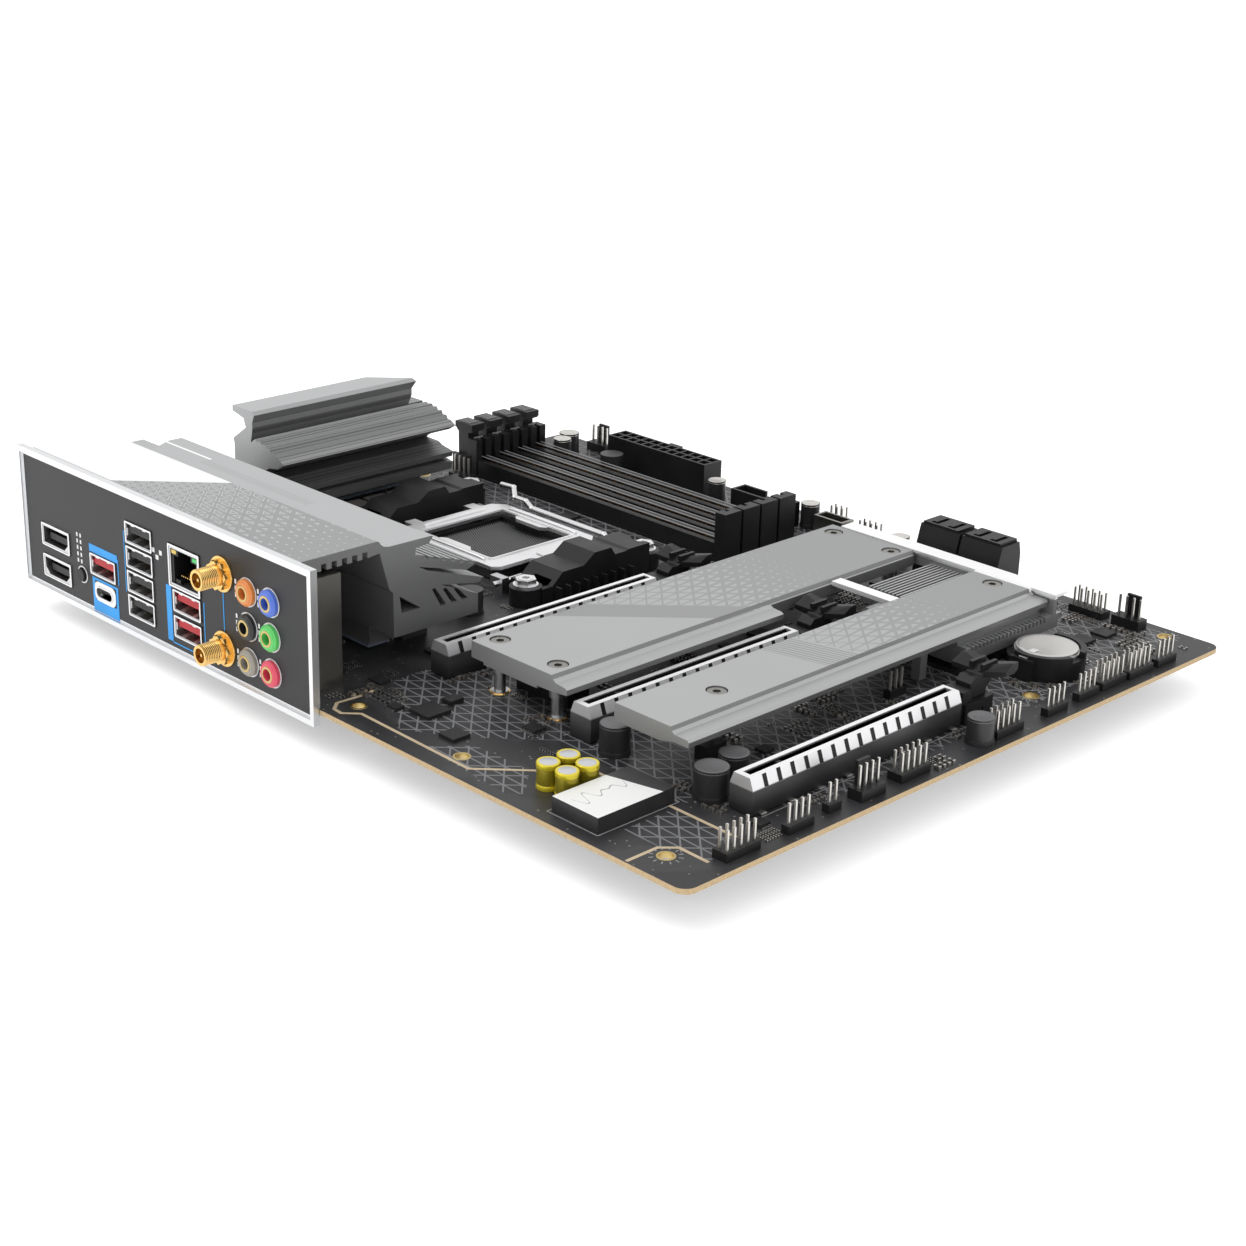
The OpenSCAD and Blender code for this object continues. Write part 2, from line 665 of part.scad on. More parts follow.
// ---------- memory slots ----------
module memory_slot(k) {
  x = mem_x0 + (k - 1) * mem_pitch;
  color("#151516") difference() {
    union() {
      at(x - mem_w / 2, mem_y0 + 1, 0) cube([mem_w, mem_slot_y1 - mem_y0 - 1, mem_h]);
      // fixed near tower
      at(x - mem_end_w / 2, mem_y0, 0) cube([mem_end_w, 4.6, mem_tower_h]);
      // far guide tower
      at(x - mem_end_w / 2 + 0.4, 283.6, 0) cube([mem_end_w - 0.8, 5.2, 14.2]);
      // cheeks that hold the latch
      for (s = [-1, 1]) at(x + s * (mem_end_w / 2 - 0.6) - 0.6, 288.6, 0) cube([1.2, 8.4, 7]);
    }
    // groove for the module
    at(x - 0.85, mem_y0 + 2.6, 1.6) cube([1.7, 133, 20]);
    at(x - 6, latch_y, latch_z) rotate([0, 90, 0]) cylinder(r = latch_pin_r + 0.06, h = 12);
  }
  color("#151516") at(x - 0.9, 223.4, 1) cube([1.8, 2, mem_h - 1.4]);
}

module memory_latch(k) {
  x = mem_x0 + (k - 1) * mem_pitch;
  color("#1d1d1e") at(x, latch_y, latch_z) {
    translate([-2.6, 0, 0]) along_x(5.2) polygon([[-1.6, -1.9], [1.8, -1.9], [3, 0], [3.2, 12.4],
      [4.4, 13.4], [4.4, 16.4], [-5.2, 16.4], [-5.2, 13.6], [-2.4, 12.6], [-2.6, 2]]);
    translate([-3.2, -5.2, 14]) cube([6.4, 9.6, 2.4]);
    translate([-3.9, 0, 0]) rotate([0, 90, 0]) cylinder(r = latch_pin_r, h = 7.8);
  }
}

// ---------- expansion slots ----------
module slot_section(half, bevel, top) {
  polygon([[-half, 0], [half, 0], [half, top - bevel], [half - 1.3, top], [-half + 1.3, top],
    [-half, top - bevel]]);
}

module pcie_slot(k) {
  y = slot_y0 + (3 - k) * slot_pitch;
  color("#222324") difference() {
    union() {
      at(slot_x0, y, 0) along_x(slot_len) slot_section(slot_w / 2, 3.4, slot_h - 0.6);
      at(slot_x0 + slot_len - eps, y - slot_w / 2, 0) cube([4.4, slot_w, slot_h - 1]);
      // cheeks and floor that carry the release latch
      for (s = [-1, 1]) at(132, y + s * 3.8 - 0.8, 0) cube([13, 1.6, 6.4]);
      at(132, y - 4.6, 0) cube([13, 9.2, 0.6]);
    }
    at(slot_x0 + 1.6, y - 0.95, 2.4) cube([11.6, 1.9, 20]);
    at(slot_x0 + 14.9, y - 0.95, 2.4) cube([71.6, 1.9, 20]);
    at(clip_x, y - 8, clip_z) rotate([-90, 0, 0]) cylinder(r = 1.06, h = 16);
  }
}

module pcie_shield(k) {
  y = slot_y0 + (3 - k) * slot_pitch;
  color("#d9dadb") difference() {
    at(slot_x0 - 0.4, y, 0.4) along_x(slot_len - 0.6)
      slot_section(slot_w / 2 + 0.45, 3.4, slot_h - 0.4);
    at(slot_x0 - 0.02, y, -1) along_x(slot_len + 3)
      slot_section(slot_w / 2 + 0.04, 3.4, slot_h + 0.44);
    // opening over the groove
    at(slot_x0 + 1.4, y - 1.3, 2) cube([85.4, 2.6, 20]);
    // side slits
    for (i = [0:14], s = [-1, 1]) at(slot_x0 + 4.4 + i * 5.5, y + s * 3.9 - 1.1, slot_h - 3.4)
      cube([1, 2.2, 3]);
  }
}

// Release latch: pivoted lug, leaning neck and two finger wings
module latch_wing(side) {
  hull() {
    translate([2, side * 1.6 - 0.5, 8.6]) cube([5.6, 1, 2]);
    translate([5, side * 1.6 - 0.5, 9]) cube([4.4, 1, 2.6]);
    translate([1.2 + (1 - side) * 2.4, side * 7.6 - 0.4, 9.6]) cube([4, 0.8, 1.4]);
    translate([6.4 + (1 - side) * 1.4, side * 7.6 - 0.4, 10.6]) cube([2.4, 0.8, 2.2]);
  }
}

module pcie_latch(k) {
  y = slot_y0 + (3 - k) * slot_pitch;
  color("#19191a") at(clip_x, y, clip_z) {
    translate([0, -2.7, 0]) along_y(5.4) polygon([[-2.4, -1.6], [2.2, -1.6], [3, 0], [4.4, 5.6],
      [8.4, 8.8], [9.2, 11.4], [4, 11.4], [1.2, 9.6], [-1.6, 9.8], [-3.4, 8.2], [-3.4, 6.6],
      [-2.2, 5.4], [-2.8, 1]]);
    for (s = [-1, 1]) {
      latch_wing(s);
      translate([2.2, s * 2 - 0.6, 11 - eps]) cube([6.8, 1.2, 1.6]);
    }
    translate([0, -4.3, 0]) rotate([-90, 0, 0]) cylinder(r = 1, h = 8.6);
  }
}

// ---------- battery ----------
module battery_holder() {
  color("#151516") difference() {
    union() {
      at(cell_x, cell_y, 0) cylinder(r = 12, h = cell_seat + 0.5, $fn = 64);
      at(cell_x, cell_y, cell_seat + 0.5 - eps) intersection() {
        cylinder(r = 12, h = 3, $fn = 64);
        translate([-14, -20, 0]) cube([28, 24, 3]);
      }
      at(cell_x - 13.4, cell_y - 4, 0) cube([5, 8, cell_seat + 2.4]);
    }
    at(cell_x, cell_y, cell_seat) cylinder(r = cell_r + 0.15, h = 9, $fn = 64);
    at(cell_x - 3, cell_y - 13, cell_seat + 1.6) cube([6, 6, 4]);
  }
}

module coin_cell() {
  color("#c8c6c2") at(cell_x, cell_y, cell_seat) {
    cylinder(r = cell_r, h = 2.4, $fn = 64);
    translate([0, 0, 2.4 - eps]) cylinder(r = cell_r - 0.5, h = 0.8, $fn = 64);
  }
}

// ---------- power, data and fan connectors ----------
// Box with square pin wells open at the top
module pin_box(nx, ny, cell, wall, h, well) {
  difference() {
    cube([nx * cell + 2 * wall, ny * cell + 2 * wall, h]);
    for (i = [0:nx - 1], j = [0:ny - 1])
      translate([wall + (i + 0.5) * cell - well / 2, wall + (j + 0.5) * cell - well / 2, 2])
        cube([well, well, h]);
  }
}

module atx_power_connector() {
  color("#141415") at(227.6, 210.6, 0) {
    pin_box(2, 12, 4.2, 0.5, 12.4, 3.4);
    translate([9.3, 22, 6]) cube([1.8, 6, 6.4]);
  }
}

module cpu_power_connectors() {
  color("#141415") for (y = [263.4, 282.2]) at(72.4, y, 0) pin_box(2, 4, 4.2, 0.5, 12.4, 3.4);
}

module sata_ports() {
  color("#161617") for (y = [71.2, 88.6]) at(219.6, y, 0) difference() {
    union() {
      along_y(16.4) polygon([[0, 0], [13.4, 0], [13.4, 14.4], [12.4, 18.6], [3, 18.6], [0, 8]]);
      translate([3, 1, 18.6 - eps]) cube([9.2, 14.4, 1]);
    }
    for (j = [0, 1]) translate([4, 3.2 + j * 6.8, 11]) {
      cube([6.8, 1.6, 20]);
      cube([1.4, 3, 20]);
    }
  }
}

module usb3_header() {
  color("#17181a") at(222.8, 165.6, 0) difference() {
    cube([7.6, 26.8, 9]);
    translate([1, 1, 1.6]) cube([5.6, 24.8, 9]);
    translate([5, 10.6, 5]) cube([4, 5, 5]);
  }
  color("#17181a") at(226, 167.6, 1) cube([1.6, 22.8, 6]);
}

module usb_c_header() {
  color("#17181a") at(226.4, 142.4, 0) difference() {
    cube([6.6, 13, 7.6]);
    translate([1, 1, 1.6]) cube([4.6, 11, 9]);
  }
}

module pin_header_bases() {
  color("#161617") for (h = headers) at(h[0], h[1], 0) difference() {
    cube([h[2] * pitch, h[3] * pitch, header_h]);
    for (i = [0:h[2] - 1], j = [0:h[3] - 1])
      translate([(i + 0.5) * pitch - pin_w / 2 - 0.05, (j + 0.5) * pitch - pin_w / 2 - 0.05, -1])
        cube([pin_w + 0.1, pin_w + 0.1, header_h + 2]);
  }
}

module header_pins() {
  color("#c9c3b2") {
    for (h = headers, i = [0:h[2] - 1], j = [0:h[3] - 1])
      at(h[0] + (i + 0.5) * pitch - pin_w / 2, h[1] + (j + 0.5) * pitch - pin_w / 2, 0)
        cube([pin_w, pin_w, pin_top]);
    for (f = fans, i = [0:3])
      at(f[0] + (f[2] ? 1.9 : (i + 0.5) * pitch - pin_w / 2),
         f[1] + (f[2] ? (i + 0.5) * pitch - pin_w / 2 : 1.9), 0) cube([pin_w, pin_w, pin_top + 1.5]);
  }
}

module fan_headers() {
  color("#1a1a1b") for (f = fans) at(f[0], f[1], 0) {
    sx = f[2] ? 5 : 10.2;
    sy = f[2] ? 10.2 : 5;
    difference() {
      cube([sx, sy, 3.2]);
      for (i = [0:3])
        translate([f[2] ? 1.8 : (i + 0.5) * pitch - 0.42, f[2] ? (i + 0.5) * pitch - 0.42 : 1.8, -1])
          cube([0.84, 0.84, 6]);
    }
    translate([f[2] ? 4 : 2.6, f[2] ? 2.6 : 4, 3.2 - eps]) cube([f[2] ? 1 : 5, f[2] ? 5 : 1, 7]);
  }
}

// ---------- small parts ----------
module black_capacitors() {
  color("#333436") for (c = caps) at(c[0], c[1], 0) {
    cylinder(r = c[2] + 0.25, h = 1.2);
    cylinder(r = c[2], h = c[3]);
  }
}

module audio_capacitors() {
  color("#c9b53a") for (c = audio_caps) at(c[0], c[1], 0) cylinder(r = 3.2, h = 7.5);
}

module audio_shield() {
  color("#dcdcda") at(5.7, 36.7, 0) cube([28.1, 17.3, 4.4]);
}

module controller_chips() {
  color("#1f2021") {
    at(18.4, 119.6, 0) cube([8.6, 8.6, 1.1]);
    at(30, 123.4, 0) cube([5, 4, 1.4]);
    at(14, 103.4, 0) cube([6.4, 6.4, 1]);
    at(220.8, 27.6, 0) cube([6, 6, 1]);
    at(226, 56, 0) cube([9, 7, 1.1]);
    at(205, 10.6, 0) cube([7, 7, 1]);
    at(92, 30, 0) cube([5, 6, 0.9]);
    at(74, 40.6, 0) cube([4, 4, 0.9]);
    // switch behind the rear button
    at(6.1, 266.4, 0) cube([5, 6.2, 10]);
  }
}

pcb();
io_plate();
io_heatsink();
top_heatsink();
heatsink_pads();
power_chokes();
power_stages();
socket_housing();
socket_base();
socket_load_frame();
socket_lever();
cooler_brackets();
bracket_screws();
socket_backplate();
memory_slot(1);  // memory_slot_1
memory_slot(2);  // memory_slot_2
memory_slot(3);  // memory_slot_3
memory_slot(4);  // memory_slot_4
memory_latch(1);  // memory_latch_1
memory_latch(2);  // memory_latch_2
memory_latch(3);  // memory_latch_3
memory_latch(4);  // memory_latch_4
pcie_slot(1);  // pcie_slot_1
pcie_slot(2);  // pcie_slot_2
pcie_slot(3);  // pcie_slot_3
pcie_shield(1);  // pcie_shield_1
pcie_shield(2);  // pcie_shield_2
pcie_shield(3);  // pcie_shield_3
pcie_latch(1);  // pcie_latch_1
pcie_latch(2);  // pcie_latch_2
pcie_latch(3);  // pcie_latch_3
m2_heatsink();
chipset_heatsink();
heatsink_screws();
heatsink_standoffs();
m2_sockets();
chipset();
battery_holder();
coin_cell();
atx_power_connector();
cpu_power_connectors();
sata_ports();
usb3_header();
usb_c_header();
pin_header_bases();
header_pins();
fan_headers();
black_capacitors();
audio_capacitors();
audio_shield();
display_ports();
usb_c_stack();
usb2_stack();
usb_pair_stack();
network_port();
antenna_connectors();
audio_jack_block();
audio_jacks();
controller_chips();
update_button();
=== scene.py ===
"""Looks of a full-size desktop motherboard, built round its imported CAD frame."""
import logging
import math
from dataclasses import dataclass
from enum import Enum
from typing import Any, Callable, Iterable, Sequence

import bpy
import numpy as np
from mathutils import Matrix, Vector
from mathutils.bvhtree import BVHTree


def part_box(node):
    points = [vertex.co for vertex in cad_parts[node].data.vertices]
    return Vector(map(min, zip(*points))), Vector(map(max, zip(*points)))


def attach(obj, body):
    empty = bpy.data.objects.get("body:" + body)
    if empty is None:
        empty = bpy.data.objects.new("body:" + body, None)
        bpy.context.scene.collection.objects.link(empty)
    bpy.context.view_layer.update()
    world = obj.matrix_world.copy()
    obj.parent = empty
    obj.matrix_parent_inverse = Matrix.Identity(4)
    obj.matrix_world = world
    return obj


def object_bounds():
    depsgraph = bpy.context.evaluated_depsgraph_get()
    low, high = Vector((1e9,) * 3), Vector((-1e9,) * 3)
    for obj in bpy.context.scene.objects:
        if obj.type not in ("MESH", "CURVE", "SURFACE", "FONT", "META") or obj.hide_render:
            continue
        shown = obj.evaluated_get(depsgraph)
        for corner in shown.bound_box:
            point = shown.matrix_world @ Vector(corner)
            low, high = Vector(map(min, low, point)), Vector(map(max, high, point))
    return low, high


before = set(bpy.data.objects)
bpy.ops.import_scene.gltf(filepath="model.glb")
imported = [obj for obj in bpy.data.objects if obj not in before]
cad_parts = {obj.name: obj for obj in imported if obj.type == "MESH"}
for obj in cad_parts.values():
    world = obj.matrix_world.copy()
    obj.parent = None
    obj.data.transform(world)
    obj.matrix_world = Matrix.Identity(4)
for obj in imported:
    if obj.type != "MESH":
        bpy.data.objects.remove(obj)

LOG = logging.getLogger("motherboard")
CAD_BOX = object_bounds()

# Board coordinates are millimetres from the rear slot corner of the board's
# component side; the frame's origin lies at DATUM in them.
DATUM = np.array([123.825, 157.48, -1.6])
MM = 0.001
REARWARD = (-1, 0, 0)

# Places that several pieces share, in board millimetres.
JACK_Y, JACK_Z = (166.9, 178.1), (27.2, 16.35, 5.1)
SOCKET_CENTRE = (128.0, 214.3)
PLATE_SCREWS = ((48.2, 122.5), (48.2, 97.7), (197.3, 122.0), (197.3, 97.4), (68.7, 55.0),
                (198.0, 56.8))
AUDIO_CANS = tuple((x, y) for x in (14.8, 22.2) for y in (58.0, 65.4))
MEMORY_SLOTS, CARD_SLOTS = range(1, 5), range(1, 4)

Colour = tuple[float, float, float]
Array = np.ndarray


def extent(node: str) -> tuple[Array, Array]:
    """Low and high corner of a CAD node's box in board millimetres."""
    low, high = (np.array(corner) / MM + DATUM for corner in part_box(node))
    return low, high


def flank(centre: float, side: int, near: float, far: float) -> list[float]:
    """Two values at those distances from the centre, both on one side, in rising order."""
    return sorted((centre + side * near, centre + side * far))


# ---------------------------------------------------------------- shader maths
@dataclass(frozen=True)
class Sock:
    """A shader socket with arithmetic on it."""

    graph: "Graph"
    out: bpy.types.NodeSocket

    def _op(self, kind: str, *others: Any) -> "Sock":
        """Adds a Math node of that kind over this value and the others."""
        return self.graph.maths(kind, self, *others)

    def __add__(self, o: Any) -> "Sock":
        """Sum."""
        return self._op("ADD", o)

    def __radd__(self, o: Any) -> "Sock":
        """Reflected sum."""
        return self._op("ADD", o)

    def __sub__(self, o: Any) -> "Sock":
        """Difference."""
        return self._op("SUBTRACT", o)

    def __rsub__(self, o: Any) -> "Sock":
        """Reflected difference."""
        return self.graph.maths("SUBTRACT", o, self)

    def __mul__(self, o: Any) -> "Sock":
        """Product."""
        return self._op("MULTIPLY", o)

    def __truediv__(self, o: Any) -> "Sock":
        """Quotient."""
        return self._op("DIVIDE", o)

    def __gt__(self, o: Any) -> "Sock":
        """1 where greater, else 0."""
        return self._op("GREATER_THAN", o)

    def __lt__(self, o: Any) -> "Sock":
        """1 where less, else 0."""
        return self._op("LESS_THAN", o)

    def fract(self) -> "Sock":
        """Fractional part."""
        return self._op("FRACT")

    def abs(self) -> "Sock":
        """Absolute value."""
        return self._op("ABSOLUTE")

    def least(self, o: Any) -> "Sock":
        """Smaller of the two."""
        return self._op("MINIMUM", o)

    def most(self, o: Any) -> "Sock":
        """Larger of the two."""
        return self._op("MAXIMUM", o)

    def within(self, low: float, high: float) -> "Sock":
        """1 between low and high, else 0."""
        return (self > low) * (self < high)

    def ramp(self, low: float, high: float) -> "Sock":
        """0 at low, 1 at high, smooth between and held beyond."""
        return self.graph.node(
            "ShaderNodeMapRange", {"interpolation_type": "SMOOTHSTEP"},
            {0: self, 1: low, 2: high})


class Graph:
    """One material's node tree with its shader."""

    # The printed lattice: turn of its rows in degrees and their height in edges.
    ROW_TURN, ROW_HEIGHT, DIAGONAL_SCALE = -43.2, 1.15, 0.72

    def __init__(self, name: str) -> None:
        """Starts a material of that name with a plain Principled shader."""
        self.material = bpy.data.materials.new(name)
        self.material.use_nodes = True
        self.nodes = self.material.node_tree.nodes
        self.links = self.material.node_tree.links
        self.shader = next(n for n in self.nodes if n.type == "BSDF_PRINCIPLED")
        self._place: Sock | None = None

    def put(self, socket: bpy.types.NodeSocket, value: Any) -> None:
        """Links a Sock to a socket, or sets a constant on it."""
        if isinstance(value, Sock):
            self.links.new(value.out, socket)
        elif isinstance(value, (tuple, list)) and socket.type == "RGBA":
            socket.default_value = (*value[:3], 1.0)
        else:
            socket.default_value = value

    def node(self, kind: str, settings: dict[str, Any], inputs: dict[Any, Any],
             out: Any = 0) -> Sock:
        """Adds any node.

        Args:
            kind: Blender's node type.
            settings: attributes, set before the sockets.
            inputs: socket name or number to value or Sock.
            out: name or number of the output wanted.

        Returns:
            That output.
        """
        made = self.nodes.new(kind)
        for key, value in settings.items():
            setattr(made, key, value)
        for key, value in inputs.items():
            self.put(made.inputs[key], value)
        return Sock(self, made.outputs[out])

    def maths(self, kind: str, *values: Any) -> Sock:
        """Adds a Math node over the values."""
        return self.node("ShaderNodeMath", {"operation": kind}, dict(enumerate(values)))

    def mix(self, factor: Any, low: Any, high: Any) -> Sock:
        """Colour between low and high by factor."""
        return self.node("ShaderNodeMix", {"data_type": "RGBA"},
                         {0: factor, 6: low, 7: high}, 2)

    def place(self) -> Sock:
        """Object coordinates in metres."""
        if self._place is None:
            self._place = self.node("ShaderNodeTexCoord", {}, {}, "Object")
        return self._place

    def board(self) -> tuple[Sock, Sock, Sock]:
        """Board coordinates in millimetres."""
        split = self.node("ShaderNodeSeparateXYZ", {}, {0: self.place()})
        outs = split.out.node.outputs
        return tuple(Sock(self, outs[i]) * 1000.0 + float(DATUM[i]) for i in range(3))

    def facing(self) -> tuple[Sock, Sock, Sock]:
        """The surface normal's three parts."""
        normal = self.node("ShaderNodeNewGeometry", {}, {}, "Normal")
        split = self.node("ShaderNodeSeparateXYZ", {}, {0: normal})
        return tuple(Sock(self, split.out.node.outputs[i]) for i in range(3))

    def noise(self, size_mm: float, detail: float = 2.0) -> Sock:
        """Noise from 0 to 1 whose blobs are about size_mm across."""
        return self.node("ShaderNodeTexNoise", {},
                         {"Vector": self.place(), "Scale": 1000.0 / size_mm, "Detail": detail})

    def bump(self, height: Sock, depth_mm: float, strength: float = 1.0) -> None:
        """Feeds a height map, depth_mm deep at 1, to the shader's normal."""
        self.put(self.shader.inputs["Normal"], self.node(
            "ShaderNodeBump", {}, {"Strength": strength, "Distance": depth_mm * MM,
                                   "Height": height}))

    def surface(self, **values: Any) -> bpy.types.Material:
        """Sets the shader's sockets by name, with _ for a space."""
        for key, value in values.items():
            self.put(self.shader.inputs[key.replace("_", " ")], value)
        return self.material

    def lattice(self, x: Sock, y: Sock, edge: float, lean: int = 1) -> Sock:
        """Nearness to the lines of a grid of oblong cells cut by one diagonal.

        With u counting cells along a turned row and v counting rows, lines lie
        where u, v or u + lean v is whole. The least distance to a whole number
        is 0 on any line and about 0.29 at a triangle's centre; the diagonal's
        is scaled down because u + lean v climbs faster than u or v.

        Args:
            x, y: board coordinates in millimetres.
            edge: cell length along a row in millimetres.
            lean: 1 or -1, which diagonal cuts the cells.

        Returns:
            That least distance.
        """
        tilt = math.radians(self.ROW_TURN)
        u = (x * math.cos(tilt) + y * math.sin(tilt)) / edge
        v = (y * math.cos(tilt) - x * math.sin(tilt)) / (edge * self.ROW_HEIGHT)
        near: Sock | None = None
        for value, scale in ((u, 1.0), (v, 1.0), (u + v * float(lean), self.DIAGONAL_SCALE)):
            gap = (0.5 - (value.fract() - 0.5).abs()) * scale
            near = gap if near is None else near.least(gap)
        return near

    def inside(self, x: Sock, y: Sock, corners: Sequence[tuple[float, float]]) -> Sock:
        """1 inside a convex polygon whose corners run clockwise: right of every side."""
        within: Any = 1.0
        for (ax, ay), (bx, by) in zip(corners, (*corners[1:], corners[0])):
            within = ((x - ax) * (by - ay) - (y - ay) * (bx - ax) > 0.0) * within
        return within


# ------------------------------------------------------------------- finishes
class Zone(Enum):
    """Which printed pattern a machined part carries."""

    UPPER_PLATE = "upper plate"
    LOWER_PLATE = "lower plate"
    REAR_SINK = "rear sink"
    TOP_SINK = "top sink"


@dataclass(frozen=True)
class Plastic:
    """Moulded plastic with a fine spark texture."""

    name: str
    colour: Colour
    roughness: float = 0.42
    grain: float = 0.02
    shine: float = 0.28

    def make(self) -> bpy.types.Material:
        """Builds the material."""
        g = Graph(self.name)
        cloud, fine = g.noise(9.0), g.noise(0.35, 3.0)
        dark = tuple(c * 0.8 for c in self.colour)
        light = tuple(min(1.0, c * 1.25 + 0.004) for c in self.colour)
        g.bump(fine, self.grain, 0.5)
        return g.surface(Base_Color=g.mix(cloud, dark, light), Specular_IOR_Level=self.shine,
                         Roughness=cloud * 0.16 + (self.roughness - 0.08))


@dataclass(frozen=True)
class Metal:
    """Plated or bare metal with faint smears and a brushed or blasted grain."""

    name: str
    colour: Colour
    roughness: float = 0.3
    grain: float = 0.006
    metallic: float = 1.0
    stretch: Colour = (1.0, 1.0, 1.0)

    def make(self) -> bpy.types.Material:
        """Builds the material."""
        g = Graph(self.name)
        along = g.node("ShaderNodeMapping", {}, {"Vector": g.place(), "Scale": self.stretch})
        grain = g.node("ShaderNodeTexNoise", {}, {"Vector": along, "Scale": 4200.0,
                                                  "Detail": 2.0})
        cloud = g.noise(14.0)
        dark = tuple(c * 0.86 for c in self.colour)
        g.bump(grain, self.grain, 0.3)
        return g.surface(Base_Color=g.mix(cloud, dark, self.colour), Metallic=self.metallic,
                         Roughness=cloud * 0.14 + grain * 0.08 + (self.roughness - 0.11))


@dataclass(frozen=True)
class Machined:
    """Bead-blasted, clear-anodised aluminium with a printed pattern.

    Each zone's print fades along one axis: size is the nearness to the
    lattice's lines beyond which a triangle shows, so it shrinks as size grows.
    """

    name: str
    colour: Colour
    zone: Zone
    lattice_edge: float = 4.9
    top_z: float = 15.0
    cover_x: float = 31.4
    print_grey: Colour = (0.32, 0.322, 0.326)
    band_grey: Colour = (0.3, 0.302, 0.305)
    cover_grey: Colour = (0.3, 0.303, 0.306)

    def shade(self, share: float) -> Colour:
        """The metal's colour darkened to a share of itself."""
        return tuple(c * share for c in self.colour)

    def make(self) -> bpy.types.Material:
        """Builds the material."""
        g = Graph(self.name)
        x, y, z = g.board()
        along, _, up = g.facing()
        cloud, blast = g.noise(30.0), g.noise(0.22, 2.0)
        base: Any = g.mix(cloud, self.shade(0.93), self.colour)
        rough: Any = cloud * 0.06 + 0.44
        height: Any = blast * 0.35
        # Painted shade: steep and low faces see less light among the parts round them, so the base
        # colour is darkened there.
        low = 1.0 - (z.ramp(16.0, 39.0) if self.zone in (Zone.TOP_SINK, Zone.REAR_SINK)
                     else z.ramp(2.0, 12.0))
        base = g.mix(low * 0.6, base, self.shade(0.25))
        steep_shade = (1.0 - up.ramp(0.35, 0.97)) * (1.0 - along.abs().ramp(0.5, 0.9) * 0.6)
        base = g.mix(steep_shade * 0.78, base, self.shade(0.36))
        flat = up > 0.85
        near = g.lattice(x, y, self.lattice_edge, 1 if self.zone is Zone.REAR_SINK else -1)
        if self.zone is Zone.UPPER_PLATE:
            # A darker diagonal band, with the lattice to the right of it.
            slant = x + (y - 128.0) * 1.076
            top = flat * (z > self.top_z)
            size = 0.05 + x.ramp(96.0, 184.0) * 0.25
            printed = (slant > 85.9) * top
            mark = (near > size) * printed
            base = g.mix(slant.within(70.9, 85.9) * top * 0.8, base, self.band_grey)
            base = g.mix(printed * (1.0 - mark) * 0.8, base, self.print_grey)
            height = height + mark * 0.8
        elif self.zone is Zone.LOWER_PLATE:
            # Slanted hatching, then the lattice, the white end strip and the white bar.
            slant = x + (y - 46.0) * 0.27
            top = flat * (z > self.top_z) * (y < 67.7) * (x < 202.0)
            size = 0.05 + x.ramp(118.0, 190.0) * 0.25
            printed = (slant > 120.5) * top
            mark = (near > size) * printed
            hatch = ((slant / 1.6).fract() < 0.5) * slant.within(106.0, 120.0) * top
            base = g.mix(printed * (1.0 - mark) * 0.8, base, self.print_grey)
            base = g.mix(hatch * 0.5, base, (0.17, 0.172, 0.175))
            strip = (x > 202.6) * (z > 14.6)
            bar = x.within(160.3, 165.3) * y.within(67.8, 92.0) * (z > 13.5)
            base = g.mix(strip.most(bar), base, (0.95, 0.95, 0.95))
            height = height + mark * 0.8
            rough = rough - strip * 0.12
        elif self.zone is Zone.TOP_SINK:
            # Painted shade: fins under the cap darkened, with fine dark lines along them for the
            # shade between the fins.
            shaded_fins = (z < 37.5) * (1.0 - along.abs().ramp(0.5, 0.9))
            lines = (((y + z * 0.4) / 2.1).fract() < 0.22) * shaded_fins
            base = g.mix(shaded_fins * 0.5, base, self.shade(0.4))
            base = g.mix(lines * 0.6, base, self.shade(0.12))
        elif self.zone is Zone.REAR_SINK:
            # A white corner, outlined triangles on the rest of the cover, a white ridge line.
            top = (up > 0.9) * (z > 40.5)
            white = (y - 255.7 + (x - 3.6) * 0.964 > 0.0) * (x < self.cover_x) * top
            size = 0.255 - y.ramp(152.0, 240.0) * 0.21
            mark = (near > size) * (near < size + 0.075) * top * (x < self.cover_x) * (1.0 - white)
            tone = top * (x < self.cover_x) * (1.0 - white)
            base = g.mix(tone * 0.75, base, self.cover_grey)
            base = g.mix(mark * 0.75, base, (0.6, 0.605, 0.61))
            ridge = x.within(44.0, 45.0) * (y > 262.0) * (up > 0.5) * (z > 36.0)
            # Painted shade: the dip beside the ridge is darkened a little towards the cover grey.
            dip_shade = x.within(39.5, 43.5) * y.within(204.0, 262.0) * (up > 0.5) * (z > 36.0)
            base = g.mix(dip_shade * 0.2, base, self.cover_grey)
            base = g.mix(white.most(ridge), base, (0.95, 0.95, 0.96))
            rough = rough - white * 0.2
            height = height + mark * 0.6
        g.bump(height, 0.02, 0.5)
        return g.surface(Base_Color=base, Metallic=0.72, Roughness=rough)


